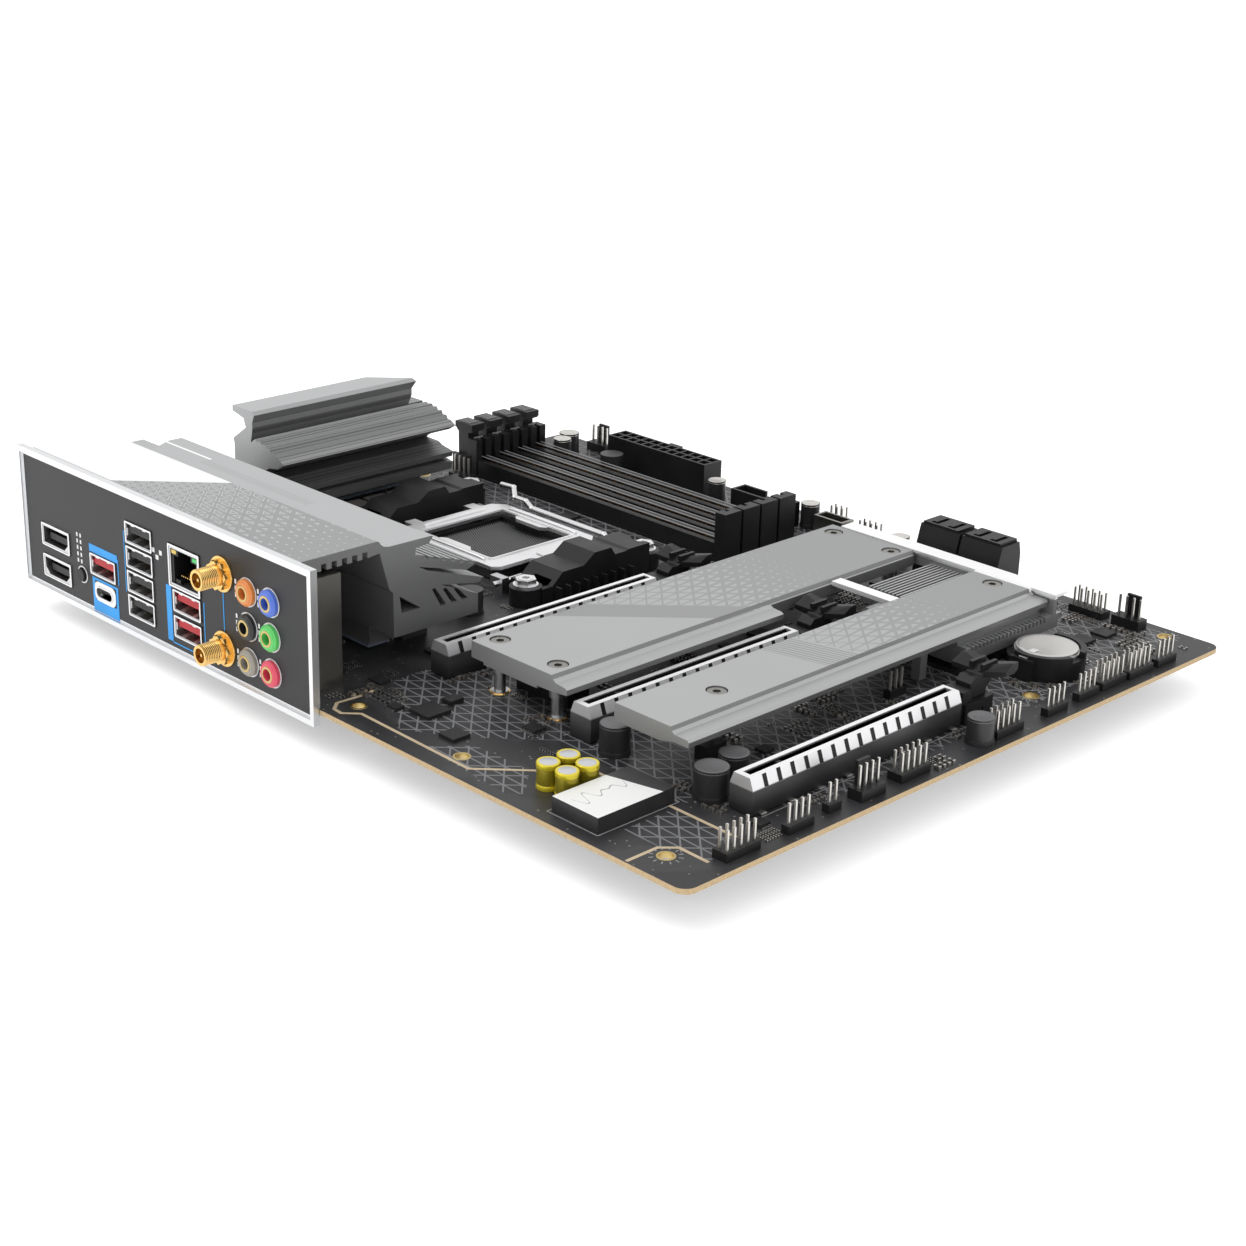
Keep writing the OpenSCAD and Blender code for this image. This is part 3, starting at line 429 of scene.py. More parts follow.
@dataclass(frozen=True)
class SolderMask:
    """The board: dark mask with a printed lattice, traces, vias and resin edges."""

    name: str = "solder_mask"
    zones: tuple[tuple[tuple[float, float], ...], ...] = (
        ((8.6, 120.5), (29.6, 148.9), (60.0, 150.0), (60.0, 62.0), (39.5, 83.2), (21.5, 100.0)),
        ((6.5, 107.2), (17.5, 98.1), (18.2, 76.4), (7.4, 66.2), (3.6, 69.5)),
        ((12.4, 21.9), (12.4, 34.0), (30.4, 34.0), (30.4, 7.5), (16.6, 7.5)),
        ((34.0, 36.0), (38.0, 92.0), (238.0, 92.0), (240.0, 14.0), (60.0, 10.0)),
        ((156.0, 150.0), (156.0, 296.0), (240.0, 296.0), (240.0, 150.0)))

    def make(self) -> bpy.types.Material:
        """Builds the material."""
        g = Graph(self.name)
        x, y, _ = g.board()
        _, _, up = g.facing()
        near, cloud, patch = g.lattice(x, y, 5.1), g.noise(40.0), g.noise(22.0)
        zones: Any = 0.0
        for corners in self.zones:
            zones = g.inside(x, y, corners) + zones
        zones = zones.least(1.0)
        traces = ((x + y) / 0.9).fract() < 0.45
        mask = g.mix(cloud, (0.02, 0.02, 0.022), (0.03, 0.03, 0.032))
        ink = (near < 0.05) * zones
        mask = g.mix(ink * 0.85, mask, (0.19, 0.192, 0.2))
        mask = g.mix(traces * patch.ramp(0.5, 0.56) * (1.0 - zones) * 0.35, mask,
                     (0.09, 0.09, 0.095))
        vias = g.node("ShaderNodeTexVoronoi", {"feature": "F1"},
                      {"Vector": g.place(), "Scale": 300.0}, "Distance")
        mask = g.mix((vias < 0.1) * 0.6 * (1.0 - zones), mask, (0.3, 0.28, 0.24))
        side = (up.abs() < 0.5)
        fibre = g.noise(0.8, 3.0)
        resin = g.mix(fibre, (0.36, 0.25, 0.13), (0.6, 0.46, 0.28))
        g.bump(traces * 0.5 + ink, 0.02, 0.4)
        return g.surface(Base_Color=g.mix(side, mask, resin), Specular_IOR_Level=0.32,
                         Roughness=cloud * 0.1 + side * 0.3 + 0.34)


@dataclass(frozen=True)
class RearPlateFinish:
    """Dark satin face inside a bright folded frame."""

    name: str = "rear_plate"

    def make(self) -> bpy.types.Material:
        """Builds the material."""
        g = Graph(self.name)
        x, y, z = g.board()
        face = y.within(148.8, 302.1) * z.within(-2.2, 40.3) * (x > -1.45)
        blast, cloud = g.noise(0.25), g.noise(25.0)
        dark = g.mix(cloud, (0.022, 0.022, 0.024), (0.03, 0.03, 0.032))
        bright = g.mix(cloud, (0.72, 0.73, 0.74), (0.8, 0.81, 0.82))
        g.bump(blast, 0.02, 0.4)
        return g.surface(Base_Color=g.mix(face, bright, dark), Metallic=(1.0 - face) * 0.9,
                         Specular_IOR_Level=0.3,
                         Roughness=face * 0.16 + 0.3)


@dataclass(frozen=True)
class JackFinish:
    """Audio sockets: a grey body with a coloured ring round each mouth."""

    name: str = "audio_jacks"
    ring_r_squared: float = 24.0
    tints: tuple[Colour, ...] = ((0.68, 0.22, 0.05), (0.02, 0.02, 0.022), (0.3, 0.28, 0.24),
                                 (0.08, 0.16, 0.6), (0.1, 0.55, 0.12), (0.68, 0.07, 0.12))

    def make(self) -> bpy.types.Material:
        """Builds the material."""
        g = Graph(self.name)
        x, y, z = g.board()
        colour: Any = g.mix(g.noise(12.0), (0.34, 0.34, 0.35), (0.5, 0.5, 0.51))
        ring = x < 0.19
        spots = ((cy, cz) for cy in JACK_Y[::-1] for cz in JACK_Z)
        for (cy, cz), tint in zip(spots, self.tints):
            near = ((y - cy) * (y - cy) + (z - cz) * (z - cz)) < self.ring_r_squared
            colour = g.mix(near * ring, colour, tint)
        g.bump(g.noise(0.4), 0.01, 0.4)
        return g.surface(Base_Color=colour, Metallic=(1.0 - ring) * 0.9, Roughness=0.36)


@dataclass(frozen=True)
class ShieldSteel:
    """Pressed slot shield: bright shoulders over a darker skirt in painted shade, darkest towards
    the board.
    """

    name: str = "shield_steel"

    def make(self) -> bpy.types.Material:
        """Builds the material."""
        g = Graph(self.name)
        _, _, z = g.board()
        # Painted shade: the skirt below the shoulders is darkened, most near the board.
        cloud, skirt = g.noise(16.0), 1.0 - z.ramp(7.2, 7.9)
        bright = g.mix(cloud, (0.86, 0.86, 0.87), (0.94, 0.94, 0.95))
        dark = g.mix(z.ramp(0.5, 7.5), (0.06, 0.06, 0.062), (0.2, 0.2, 0.205))
        g.bump(g.noise(0.3), 0.004, 0.3)
        return g.surface(Base_Color=g.mix(skirt, bright, dark), Metallic=0.85,
                         Roughness=cloud * 0.08 + 0.34)


@dataclass(frozen=True)
class AudioCover:
    """Black moulded cover with a white printed top and a dark band at one end."""

    name: str = "audio_cover"

    def make(self) -> bpy.types.Material:
        """Builds the material."""
        g = Graph(self.name)
        x, y, _ = g.board()
        _, _, up = g.facing()
        slant = x + (y - 36.7) * 0.25
        white = (up > 0.9) * (slant < 29.5)
        wave = g.maths("SINE", x * 1.1) * 3.0 * g.maths("SINE", x * 0.16) + 47.5
        line = ((y - wave).abs() < 0.22) * x.within(8.0, 26.0)
        cloud = g.noise(10.0)
        dark = g.mix(cloud, (0.014, 0.014, 0.015), (0.03, 0.03, 0.032))
        print_colour = g.mix(line, (0.78, 0.78, 0.77), (0.3, 0.3, 0.31))
        g.bump(g.noise(0.3), 0.01, 0.4)
        return g.surface(Base_Color=g.mix(white, dark, print_colour),
                         Roughness=0.42 - white * 0.08)


BLACK: Colour = (0.007, 0.007, 0.0075)
PALETTE: dict[str, Any] = {finish.name: finish for finish in (
    Plastic("port_black", (0.005, 0.005, 0.0055), 0.32),
    Plastic("port_red", (0.42, 0.012, 0.02), 0.35),
    Plastic("blue_print", (0.03, 0.3, 0.72), 0.45),
    Plastic("ink", (0.72, 0.72, 0.71), 0.5),
    Plastic("dull_ink", (0.3, 0.3, 0.3), 0.5),
    Plastic("tan", (0.5, 0.4, 0.27), 0.4),
    Plastic("lamp_amber", (0.7, 0.5, 0.12), 0.25),
    Plastic("lamp_green", (0.06, 0.5, 0.12), 0.25),
    Plastic("resistor", (0.02, 0.02, 0.022), 0.4),
    Plastic("ceramic", (0.07, 0.062, 0.056), 0.42),
    Metal("contact", (0.2, 0.2, 0.2), 0.36),
    Plastic("black_plastic", BLACK, 0.4),
    # Grey plastic of the latch grips, and painted highlight on the memory slots' lips.
    Plastic("grey_plastic_and_highlight", (0.17, 0.17, 0.175), 0.4, 0.02, 0.5),
    Plastic("slot_plastic", (0.006, 0.006, 0.0065), 0.36),
    Plastic("choke", (0.045, 0.042, 0.04), 0.55, 0.05),
    Plastic("package", (0.014, 0.014, 0.015), 0.48),
    Plastic("pad", (0.2, 0.24, 0.3), 0.8, 0.06),
    Metal("steel", (0.62, 0.62, 0.63), 0.32),
    Metal("bright_steel", (0.86, 0.86, 0.87), 0.34, 0.003),
    ShieldSteel(),
    Metal("dark_steel", (0.3, 0.29, 0.27), 0.34),
    Metal("lever_wire", (0.75, 0.75, 0.76), 0.24),
    Metal("gold", (0.9, 0.58, 0.2), 0.24),
    Metal("brass", (0.62, 0.47, 0.2), 0.33),
    Metal("cell", (0.68, 0.67, 0.65), 0.4, stretch=(1.0, 6.0, 1.0)),
    Metal("tin", (0.72, 0.7, 0.66), 0.36),
    Metal("can", (0.035, 0.035, 0.037), 0.38, metallic=0.4),
    Metal("can_dark", (0.16, 0.16, 0.165), 0.45, metallic=0.6),
    Metal("gold_can", (0.8, 0.66, 0.04), 0.3, metallic=0.5),
    Metal("can_top", (0.62, 0.63, 0.65), 0.4, metallic=0.5),
    Metal("gold_sleeve", (0.34, 0.28, 0.02), 0.3, metallic=0.6),
    Plastic("white_paint", (0.8, 0.8, 0.79), 0.35),
    Machined("io_sink", (0.5, 0.505, 0.51), Zone.REAR_SINK),
    Machined("top_sink", (0.5, 0.505, 0.51), Zone.TOP_SINK),
    Machined("upper_plate", (0.46, 0.463, 0.466), Zone.UPPER_PLATE),
    Machined("lower_plate", (0.46, 0.463, 0.466), Zone.LOWER_PLATE),
    SolderMask(),
    RearPlateFinish(),
    JackFinish(),
    AudioCover(),
)}

# Nodes that this table leaves out are of plain black plastic.
PLAIN_FINISH = "black_plastic"
NODE_FINISH: dict[str, str] = {
    "pcb": "solder_mask", "io_plate": "rear_plate", "io_heatsink": "io_sink",
    "top_heatsink": "top_sink", "heatsink_pads": "pad", "power_chokes": "choke",
    "power_stages": "package", "socket_base": "steel",
    "socket_load_frame": "bright_steel", "socket_lever": "lever_wire",
    "bracket_screws": "bright_steel", "socket_backplate": "dark_steel",
    "m2_heatsink": "upper_plate", "chipset_heatsink": "lower_plate",
    "heatsink_screws": "dark_steel", "heatsink_standoffs": "steel", "coin_cell": "cell",
    "header_pins": "tin", "black_capacitors": "can", "audio_capacitors": "gold_sleeve",
    "audio_shield": "audio_cover", "display_ports": "steel", "usb_c_stack": "steel",
    "usb2_stack": "steel", "usb_pair_stack": "steel", "network_port": "steel",
    "antenna_connectors": "gold", "audio_jack_block": "dark_steel",
    "audio_jacks": "audio_jacks", "controller_chips": "package", "chipset": "package",
    "usb_c_header": "dark_steel",
    **{f"pcie_shield_{number}": "shield_steel" for number in CARD_SLOTS},
}


class Workshop:
    """Holds the made materials and hands them out by name."""

    def __init__(self) -> None:
        """Builds every finish once."""
        self.made = {name: finish.make() for name, finish in PALETTE.items()}

    def dress(self, piece: bpy.types.Object, finish: str) -> None:
        """Gives a piece's every slot one finish."""
        if not piece.material_slots:
            piece.data.materials.append(self.made[finish])
        for slot in piece.material_slots:
            slot.material = self.made[finish]

    def dress_frame(self) -> None:
        """Dresses every CAD node that stays visible."""
        for name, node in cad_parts.items():
            self.dress(node, NODE_FINISH.get(name, PLAIN_FINISH))
            LOG.info("dressed %s", name)


# ------------------------------------------------------------------- geometry
class Shape:
    """Points in board millimetres and faces of one piece, added bit by bit."""

    CORNERS = np.array([[-1, -1, -1], [1, -1, -1], [1, 1, -1], [-1, 1, -1],
                        [-1, -1, 1], [1, -1, 1], [1, 1, 1], [-1, 1, 1]]) / 2
    SIDES = np.array([[0, 3, 2, 1], [4, 5, 6, 7], [0, 1, 5, 4], [1, 2, 6, 5],
                      [2, 3, 7, 6], [3, 0, 4, 7]])
    ORDER = {"x": (2, 0, 1), "y": (1, 2, 0), "z": (0, 1, 2)}

    def __init__(self) -> None:
        """Starts empty."""
        self.points: list[Array] = []
        self.faces: list[tuple[int, ...]] = []
        self.count = 0

    def add(self, points: Array, faces: Iterable[Sequence[int]]) -> "Shape":
        """Adds points and the faces over them.

        Args:
            points: any array whose last axis is x, y, z.
            faces: corner numbers within these points, anticlockwise from outside.

        Returns:
            This shape.
        """
        points = np.asarray(points, float).reshape(-1, 3)
        self.points.append(points)
        self.faces += [tuple(int(i) + self.count for i in face) for face in faces]
        self.count += len(points)
        return self

    def boxes(self, centres: Any, sizes: Any, turns: Any = 0.0) -> "Shape":
        """Adds upright boxes: corner = centre + turn(sign * size / 2).

        Args:
            centres: one centre or many.
            sizes: one size or one each.
            turns: angle about z in radians, one or one each.

        Returns:
            This shape.
        """
        centre = np.atleast_2d(np.asarray(centres, float))
        if not len(centre) or not centre.size:
            return self
        size = np.broadcast_to(np.asarray(sizes, float), centre.shape)
        angle = np.broadcast_to(np.asarray(turns, float), (len(centre),))[:, None]
        off = self.CORNERS[None] * size[:, None]
        x = off[..., 0] * np.cos(angle) - off[..., 1] * np.sin(angle)
        y = off[..., 0] * np.sin(angle) + off[..., 1] * np.cos(angle)
        faces = (self.SIDES[None] + 8 * np.arange(len(centre))[:, None, None]).reshape(-1, 4)
        return self.add(centre[:, None] + np.stack([x, y, off[..., 2]], -1), faces)

    def block(self, x: Sequence[float], y: Sequence[float], z: Sequence[float]) -> "Shape":
        """Adds one box between two values along each axis."""
        low, high = np.array([x[0], y[0], z[0]]), np.array([x[1], y[1], z[1]])
        return self.boxes((low + high) / 2, high - low)

    def grid(self, points: Array, wrap_u: bool = False, wrap_v: bool = False) -> "Shape":
        """Adds the surface over an (m, n, 3) grid, closed on itself where wrapped."""
        m, n = points.shape[:2]
        i = np.arange(m if wrap_u else m - 1)[:, None]
        j = np.arange(n if wrap_v else n - 1)[None]
        a, b = i * n + j, (i + 1) % m * n + j
        c, d = (i + 1) % m * n + (j + 1) % n, i * n + (j + 1) % n
        return self.add(points, np.stack(np.broadcast_arrays(a, b, c, d), -1).reshape(-1, 4))

    @staticmethod
    def basis(axis: Sequence[float]) -> Array:
        """Two cross directions and the unit axis, right-handed, as rows."""
        e = np.asarray(axis, float) / np.linalg.norm(axis)
        side = np.cross([0.0, 0.0, 1.0] if abs(e[2]) < 0.9 else [0.0, 1.0, 0.0], e)
        side /= np.linalg.norm(side)
        return np.array([side, np.cross(e, side), e])

    def lathe(self, centres: Any, profile: Sequence[tuple[float, float]],
              axis: Sequence[float] = (0, 0, 1), steps: int = 24) -> "Shape":
        """Carries a profile round an axis.

        At angle t the profile's point (r, h) lies r cos t along the first cross
        direction, r sin t along the second and h along the axis. The profile
        runs from the top centre outwards and down.

        Args:
            centres: one foot of the axis or many.
            profile: points (radius, height).
            axis: the direction of height.
            steps: points round.

        Returns:
            This shape.
        """
        t = np.linspace(0, 2 * math.pi, steps, endpoint=False)[None]
        r, h = (np.asarray(profile, float)[:, k, None] for k in (0, 1))
        ring = np.stack([r * np.cos(t), r * np.sin(t), h + 0 * t], -1) @ self.basis(axis)
        for centre in np.atleast_2d(np.asarray(centres, float)):
            self.grid(ring + centre, wrap_v=True)
        return self

    def tube(self, path: Sequence[Sequence[float]], radius: float, steps: int = 8) -> "Shape":
        """Carries a circle along a path: point = path(s) + radius (p cos t + q sin t)."""
        way = np.asarray(path, float)
        along = np.gradient(way, axis=0)
        t = np.linspace(0, 2 * math.pi, steps, endpoint=False)[:, None]
        rings = []
        for point, ahead in zip(way, along):
            p, q, _ = self.basis(ahead)
            rings.append(point + radius * (p * np.cos(t) + q * np.sin(t)))
        first, last = self.count, self.count + steps * (len(way) - 1)
        self.grid(np.array(rings)[::-1], wrap_v=True)
        self.faces.append(tuple(range(first, first + steps)))
        self.faces.append(tuple(range(last, last + steps))[::-1])
        return self

    def prism(self, outline: Any, low: float, high: float, axis: str = "z") -> "Shape":
        """Carries a closed outline, anticlockwise seen from the high end, along an axis.

        Args:
            outline: points in the two other coordinates (y, z for x; z, x for y;
                x, y for z).
            low, high: ends along the axis.
            axis: x, y or z.

        Returns:
            This shape.
        """
        flat = np.asarray(outline, float)
        n = len(flat)
        order = self.ORDER[axis]
        solid = np.concatenate([np.c_[flat, np.full(n, v)] for v in (low, high)])[:, order]
        walls = [(i, (i + 1) % n, (i + 1) % n + n, i + n) for i in range(n)]
        return self.add(solid, walls + [tuple(range(n))[::-1], tuple(range(n, 2 * n))])

    def frame(self, outer: Any, inner: Any, low: float, high: float, axis: str = "z") -> "Shape":
        """Carries the band between two outlines of as many points along an axis."""
        out, into = np.asarray(outer, float), np.asarray(inner, float)
        order = self.ORDER[axis]
        loop = [np.c_[line, np.full(len(line), v)][:, order]
                for line, v in ((into, high), (out, high), (out, low), (into, low))]
        return self.grid(np.array(loop), wrap_u=True, wrap_v=True)

    def star(self, centres: Iterable[Sequence[float]], rim: float, tip: float, notch: float,
             heights: tuple[float, float]) -> "Shape":
        """Adds discs round six-lobed holes, as in star-headed screws.

        Args:
            centres: the discs' centres (x, y).
            rim: a disc's radius.
            tip: the hole's radius at a lobe.
            notch: how much less it is between lobes.
            heights: the disc's foot and top.

        Returns:
            This shape.
        """
        turn = np.linspace(0, 2 * math.pi, 12, endpoint=False)
        circle = np.c_[np.cos(turn), np.sin(turn)]
        hole = circle * (tip - notch * (np.arange(12) % 2))[:, None]
        for centre in centres:
            self.frame(np.asarray(centre) + rim * circle, np.asarray(centre) + hole, *heights)
        return self

    def ribbon(self, path: Any, width: float, low: float, high: float) -> "Shape":
        """Adds a flat strip of one width along a path of points (x, y)."""
        way = np.asarray(path, float)
        ahead = np.diff(way, axis=0)
        ahead /= np.linalg.norm(ahead, axis=1)[:, None]
        across = np.c_[-ahead[:, 1], ahead[:, 0]]
        joint = np.concatenate([across[:1], across[:-1] + across[1:], across[-1:]])
        scale = np.concatenate([[1.0], 2.0 / (joint[1:-1] ** 2).sum(1), [1.0]])[:, None]
        off = joint * scale * width / 2
        rows = [np.c_[way + side * off, np.full(len(way), height)]
                for side, height in ((1, low), (1, high), (-1, high), (-1, low))]
        return self.grid(np.array(rows), wrap_u=True)


def rounded(width: float, height: float, radius: float, centre: Sequence[float] = (0, 0),
            steps: int = 5) -> Array:
    """Outline of a round-cornered rectangle, anticlockwise: corner + r (cos t, sin t)."""
    turn = np.linspace(0, math.pi / 2, steps)
    corners = []
    for k, (sx, sy) in enumerate(((1, 1), (-1, 1), (-1, -1), (1, -1))):
        t = turn + k * math.pi / 2
        corners.append(np.c_[sx * (width / 2 - radius) + radius * np.cos(t),
                             sy * (height / 2 - radius) + radius * np.sin(t)])
    return np.concatenate(corners) + np.asarray(centre, float)


class Fitter:
    """Turns shapes into finished pieces that ride their bodies."""

    SHARP_FROM = 35.0

    def __init__(self, shop: Workshop) -> None:
        """Keeps the materials."""
        self.shop = shop

    def piece(self, shape: Shape, name: str, finish: str, node: str, body: str = "board",
              bevel: float = 0.0, smooth: bool = False) -> None:
        """Makes one piece.

        Args:
            shape: its points and faces.
            name: the piece's name.
            finish: key of its finish.
            node: the CAD node it belongs to; not used.
            body: the body it rides.
            bevel: width of rounded edges in millimetres.
            smooth: whether shallow edges are shaded smooth.
        """
        mesh = bpy.data.meshes.new(name)
        mesh.from_pydata(((np.concatenate(shape.points) - DATUM) * MM).tolist(), [], shape.faces)
        mesh.update()
        piece = bpy.data.objects.new(name, mesh)
        bpy.context.scene.collection.objects.link(piece)
        self.shop.dress(piece, finish)
        if bevel:
            edge = piece.modifiers.new("edges", "BEVEL")
            edge.width, edge.segments, edge.limit_method = bevel * MM, 2, "ANGLE"
        if smooth:
            mesh.shade_smooth()
            mesh.set_sharp_from_angle(angle=math.radians(self.SHARP_FROM))
        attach(piece, body)
        LOG.info("piece %s: %d faces", name, len(shape.faces))


# ------------------------------------------------------------- detail pieces
@dataclass
class RearPorts:
    """Everything seen inside and round the rear connectors."""

    face_x: float = -1.35
    video_y: float = 284.6
    type_c_at: tuple[float, float] = (256.0, 4.2)
    network_at: tuple[float, float] = (210.3, 25.0)
    button_at: tuple[float, float] = (269.5, 7.2)
    antenna_y: float = 190.4
    antenna_z: tuple[float, float] = (29.6, 5.8)
    # Each stack of flat ports: node, y, heights of its ports and the tongues' finish.
    usb_rows: tuple[tuple[str, float, tuple[float, ...], str], ...] = (
        ("usb2_stack", 234.9, (29.3, 21.2, 13.1, 5.0), "port_black"),
        ("usb_c_stack", 256.6, (12.9,), "port_red"),
        ("usb_pair_stack", 209.5, (13.9, 5.4), "port_red"))

    def build(self, fit: Fitter) -> None:
        """Makes the pieces."""
        for node, y, rows, colour in self.usb_rows:
            self.usb(fit, node, y, rows, colour)
        self.video(fit)
        self.type_c(fit)
        self.network(fit)
        self.jacks(fit)
        self.antennas(fit)
        self.labels(fit)

    def usb(self, fit: Fitter, node: str, y: float, rows: Sequence[float], colour: str) -> None:
        """Tongue, contacts, back wall and springs of each flat port."""
        tongue, steel, gold, lip = Shape(), Shape(), Shape(), Shape()
        for z in rows:
            tongue.block((-0.9, 11.2), (y - 5.9, y + 5.9), (z - 0.1, z + 2.3))
            tongue.block((9.6, 11.2), (y - 6.4, y + 6.4), (z - 2.7, z + 2.7))
            gold.boxes([(3.6, y + k, z - 0.16) for k in (-3.5, -1.2, 1.2, 3.5)], (7.0, 1.0, 0.16))
            for k in (-3.2, 3.2):
                steel.prism([(z - 2.75, -1.5), (z - 2.75, 4.5), (z - 1.9, 3.4), (z - 1.95, 1.6)],
                            y + k - 0.9, y + k + 0.9, "y")
                steel.block((-1.55, 4.0), (y + k - 0.8, y + k + 0.8), (z + 2.5, z + 2.76))
            for side in (-1, 1):
                steel.prism([(z - 1.2, -1.4), (z - 1.2, 3.4), (z + 1.2, 3.4), (z + 1.2, -1.4)],
                            y + side * 6.3 - 0.2, y + side * 6.3 + 0.2, "y")
            lip.frame(rounded(14.6, 7.2, 0.5, (y, z)), rounded(13.6, 6.2, 0.4, (y, z)),
                      -1.85, -1.6, "x")
        fit.piece(tongue, f"{node}_tongues", colour, node, bevel=0.15)
        fit.piece(steel, f"{node}_springs", "bright_steel", node)
        fit.piece(gold, f"{node}_contacts", "gold", node)
        fit.piece(lip, f"{node}_lips", "bright_steel", node, bevel=0.1)

    def video(self, fit: Fitter) -> None:
        """Cut corners, tongues and contacts of the two display outlets."""
        steel, black, gold, lip = Shape(), Shape(), Shape(), Shape()
        y = self.video_y
        for z, cuts in ((15.4, (-1,)), (4.6, (-1, 1))):
            black.block((9.6, 10.3), (y - 7.2, y + 7.2), (z - 2.7, z + 2.7))
            black.block((-0.25, 9.8), (y - 5.7, y + 5.7), (z - 1.6, z + 0.75))
            gold.boxes([(4.6, y - 5 + k * 0.55, z - 1.66) for k in range(19)], (8.0, 0.26, 0.12))
            for cut in cuts:
                corner = [(y + cut * 7.35, z - 2.85), (y + cut * 7.35, z - 0.6),
                          (y + cut * 5.0, z - 2.85)]
                steel.prism(corner if cut < 0 else corner[::-1], -1.55, 9.5, "x")
            lip.frame(rounded(16.8, 7.8, 0.6, (y, z)), rounded(15.8, 6.8, 0.5, (y, z)),
                      -1.8, -1.6, "x")
        fit.piece(steel, "display_corners", "steel", "display_ports")
        fit.piece(black, "display_tongues", "port_black", "display_ports", bevel=0.1)
        fit.piece(gold, "display_contacts", "gold", "display_ports")
        fit.piece(lip, "display_lips", "bright_steel", "display_ports", bevel=0.1)

    def type_c(self, fit: Fitter) -> None:
        """White collar, stadium shell and tongue of the small reversible port."""
        y, z = self.type_c_at
        collar = Shape().frame(rounded(12.0, 6.6, 2.2, (y, z)), rounded(9.6, 3.9, 1.9, (y, z)),
                               -1.75, -1.45, "x")
        shell = Shape().frame(rounded(9.6, 3.9, 1.94, (y, z)), rounded(8.9, 3.2, 1.59, (y, z)),
                              -2.1, 6.0, "x")
        core = Shape().block((-0.7, 6.0), (y - 3.3, y + 3.3), (z - 0.35, z + 0.35))
        core.block((5.4, 6.4), (y - 4.6, y + 4.6), (z - 1.8, z + 1.8))
        fit.piece(collar, "type_c_collar", "white_paint", "usb_c_stack", bevel=0.1)
        fit.piece(shell, "type_c_shell", "bright_steel", "usb_c_stack", smooth=True)
        fit.piece(core, "type_c_tongue", "port_black", "usb_c_stack", bevel=0.08)

    def network(self, fit: Fitter) -> None:
        """Stepped lining, contacts and lamps of the network socket."""
        y, z = self.network_at
        lining, gold, lip = Shape(), Shape(), Shape()
        lining.block((10.0, 10.3), (y - 6.9, y + 6.9), (z - 5.5, z + 5.5))
        for side in (-1, 1):
            lining.block((-1.2, 10.2), flank(y, side, 6.9, 5.9), (z - 5.5, z + 3.4))
            lining.block((-1.3, 10.2), flank(y, side, 6.9, 3.4), (z + 3.4, z + 5.5))
            lining.block((-0.9, 10.2), flank(y, side, 5.9, 3.1), (z - 5.5, z - 4.2))
        gold.boxes([(4.4, y - 3.57 + k * 1.02, z - 3.0) for k in range(8)], (9.0, 0.45, 0.3))
        lip.frame(rounded(16.6, 13.8, 0.5, (y, z)), rounded(15.4, 12.6, 0.4, (y, z)),
                  -1.85, -1.6, "x")
        fit.piece(lining, "network_lining", "port_black", "network_port", bevel=0.12)
        fit.piece(gold, "network_contacts", "gold", "network_port")
        fit.piece(lip, "network_lip", "bright_steel", "network_port", bevel=0.1)
        for side, colour in ((1, "lamp_amber"), (-1, "lamp_green")):
            lamp = Shape().block((-1.5, 1.0), flank(y, side, 6.7, 4.3), (z + 3.9, z + 5.2))
            fit.piece(lamp, f"network_{colour}", colour, "network_port", bevel=0.2)

    def jacks(self, fit: Fitter) -> None:
        """Brass sleeve in every audio socket and a bright seat behind its ring."""
        spots = [(0.0, y, z) for y in JACK_Y for z in JACK_Z]
        sleeve = Shape().lathe(spots, [(1.8, -3), (1.85, 3.35), (2.2, 3.42), (2.55, 3.3),
                                       (2.6, 2.6)], REARWARD, 28)
        seat = Shape().lathe(spots, [(4.1, 1.5), (4.45, 1.5), (4.6, 1.36), (4.6, 1.2)],
                             REARWARD, 28)
        fit.piece(sleeve, "jack_sleeves", "brass", "audio_jacks", smooth=True)
        fit.piece(seat, "jack_seats", "steel", "audio_jacks", smooth=True)

    def antennas(self, fit: Fitter) -> None:
        """Threaded barrel, nut, washer and centre of both coaxial sockets."""
        spots = [(0.0, self.antenna_y, z) for z in self.antenna_z]
        crest_r, thread_depth, half_pitch = 3.32, 0.26, 0.3
        crests = [(crest_r - thread_depth * (k % 2), 10.1 - k * half_pitch) for k in range(22)]
        thread = Shape().lathe(spots, [(2.3, 9.4), (2.35, 10.35), (2.9, 10.42)] + crests,
                               REARWARD, 28)
        nut = Shape().lathe(spots, [(3.2, 4.0), (4.3, 4.0), (4.75, 3.7), (4.75, 1.8)],
                            REARWARD, 6)
        washer = Shape().lathe(spots, [(3.2, 2.1), (5.5, 2.1), (5.6, 2.0), (5.6, 1.36)],
                               REARWARD, 32)
        core = Shape().lathe(spots, [(0.0, 7.5), (0.45, 7.4), (0.45, 5.6), (2.3, 5.6)],
                             REARWARD, 20)
        fit.piece(thread, "antenna_threads", "gold", "antenna_connectors", smooth=True)
        fit.piece(nut, "antenna_nuts", "gold", "antenna_connectors", bevel=0.15)
        fit.piece(washer, "antenna_washers", "gold", "antenna_connectors", smooth=True)
        fit.piece(core, "antenna_cores", "white_paint", "antenna_connectors", smooth=True)

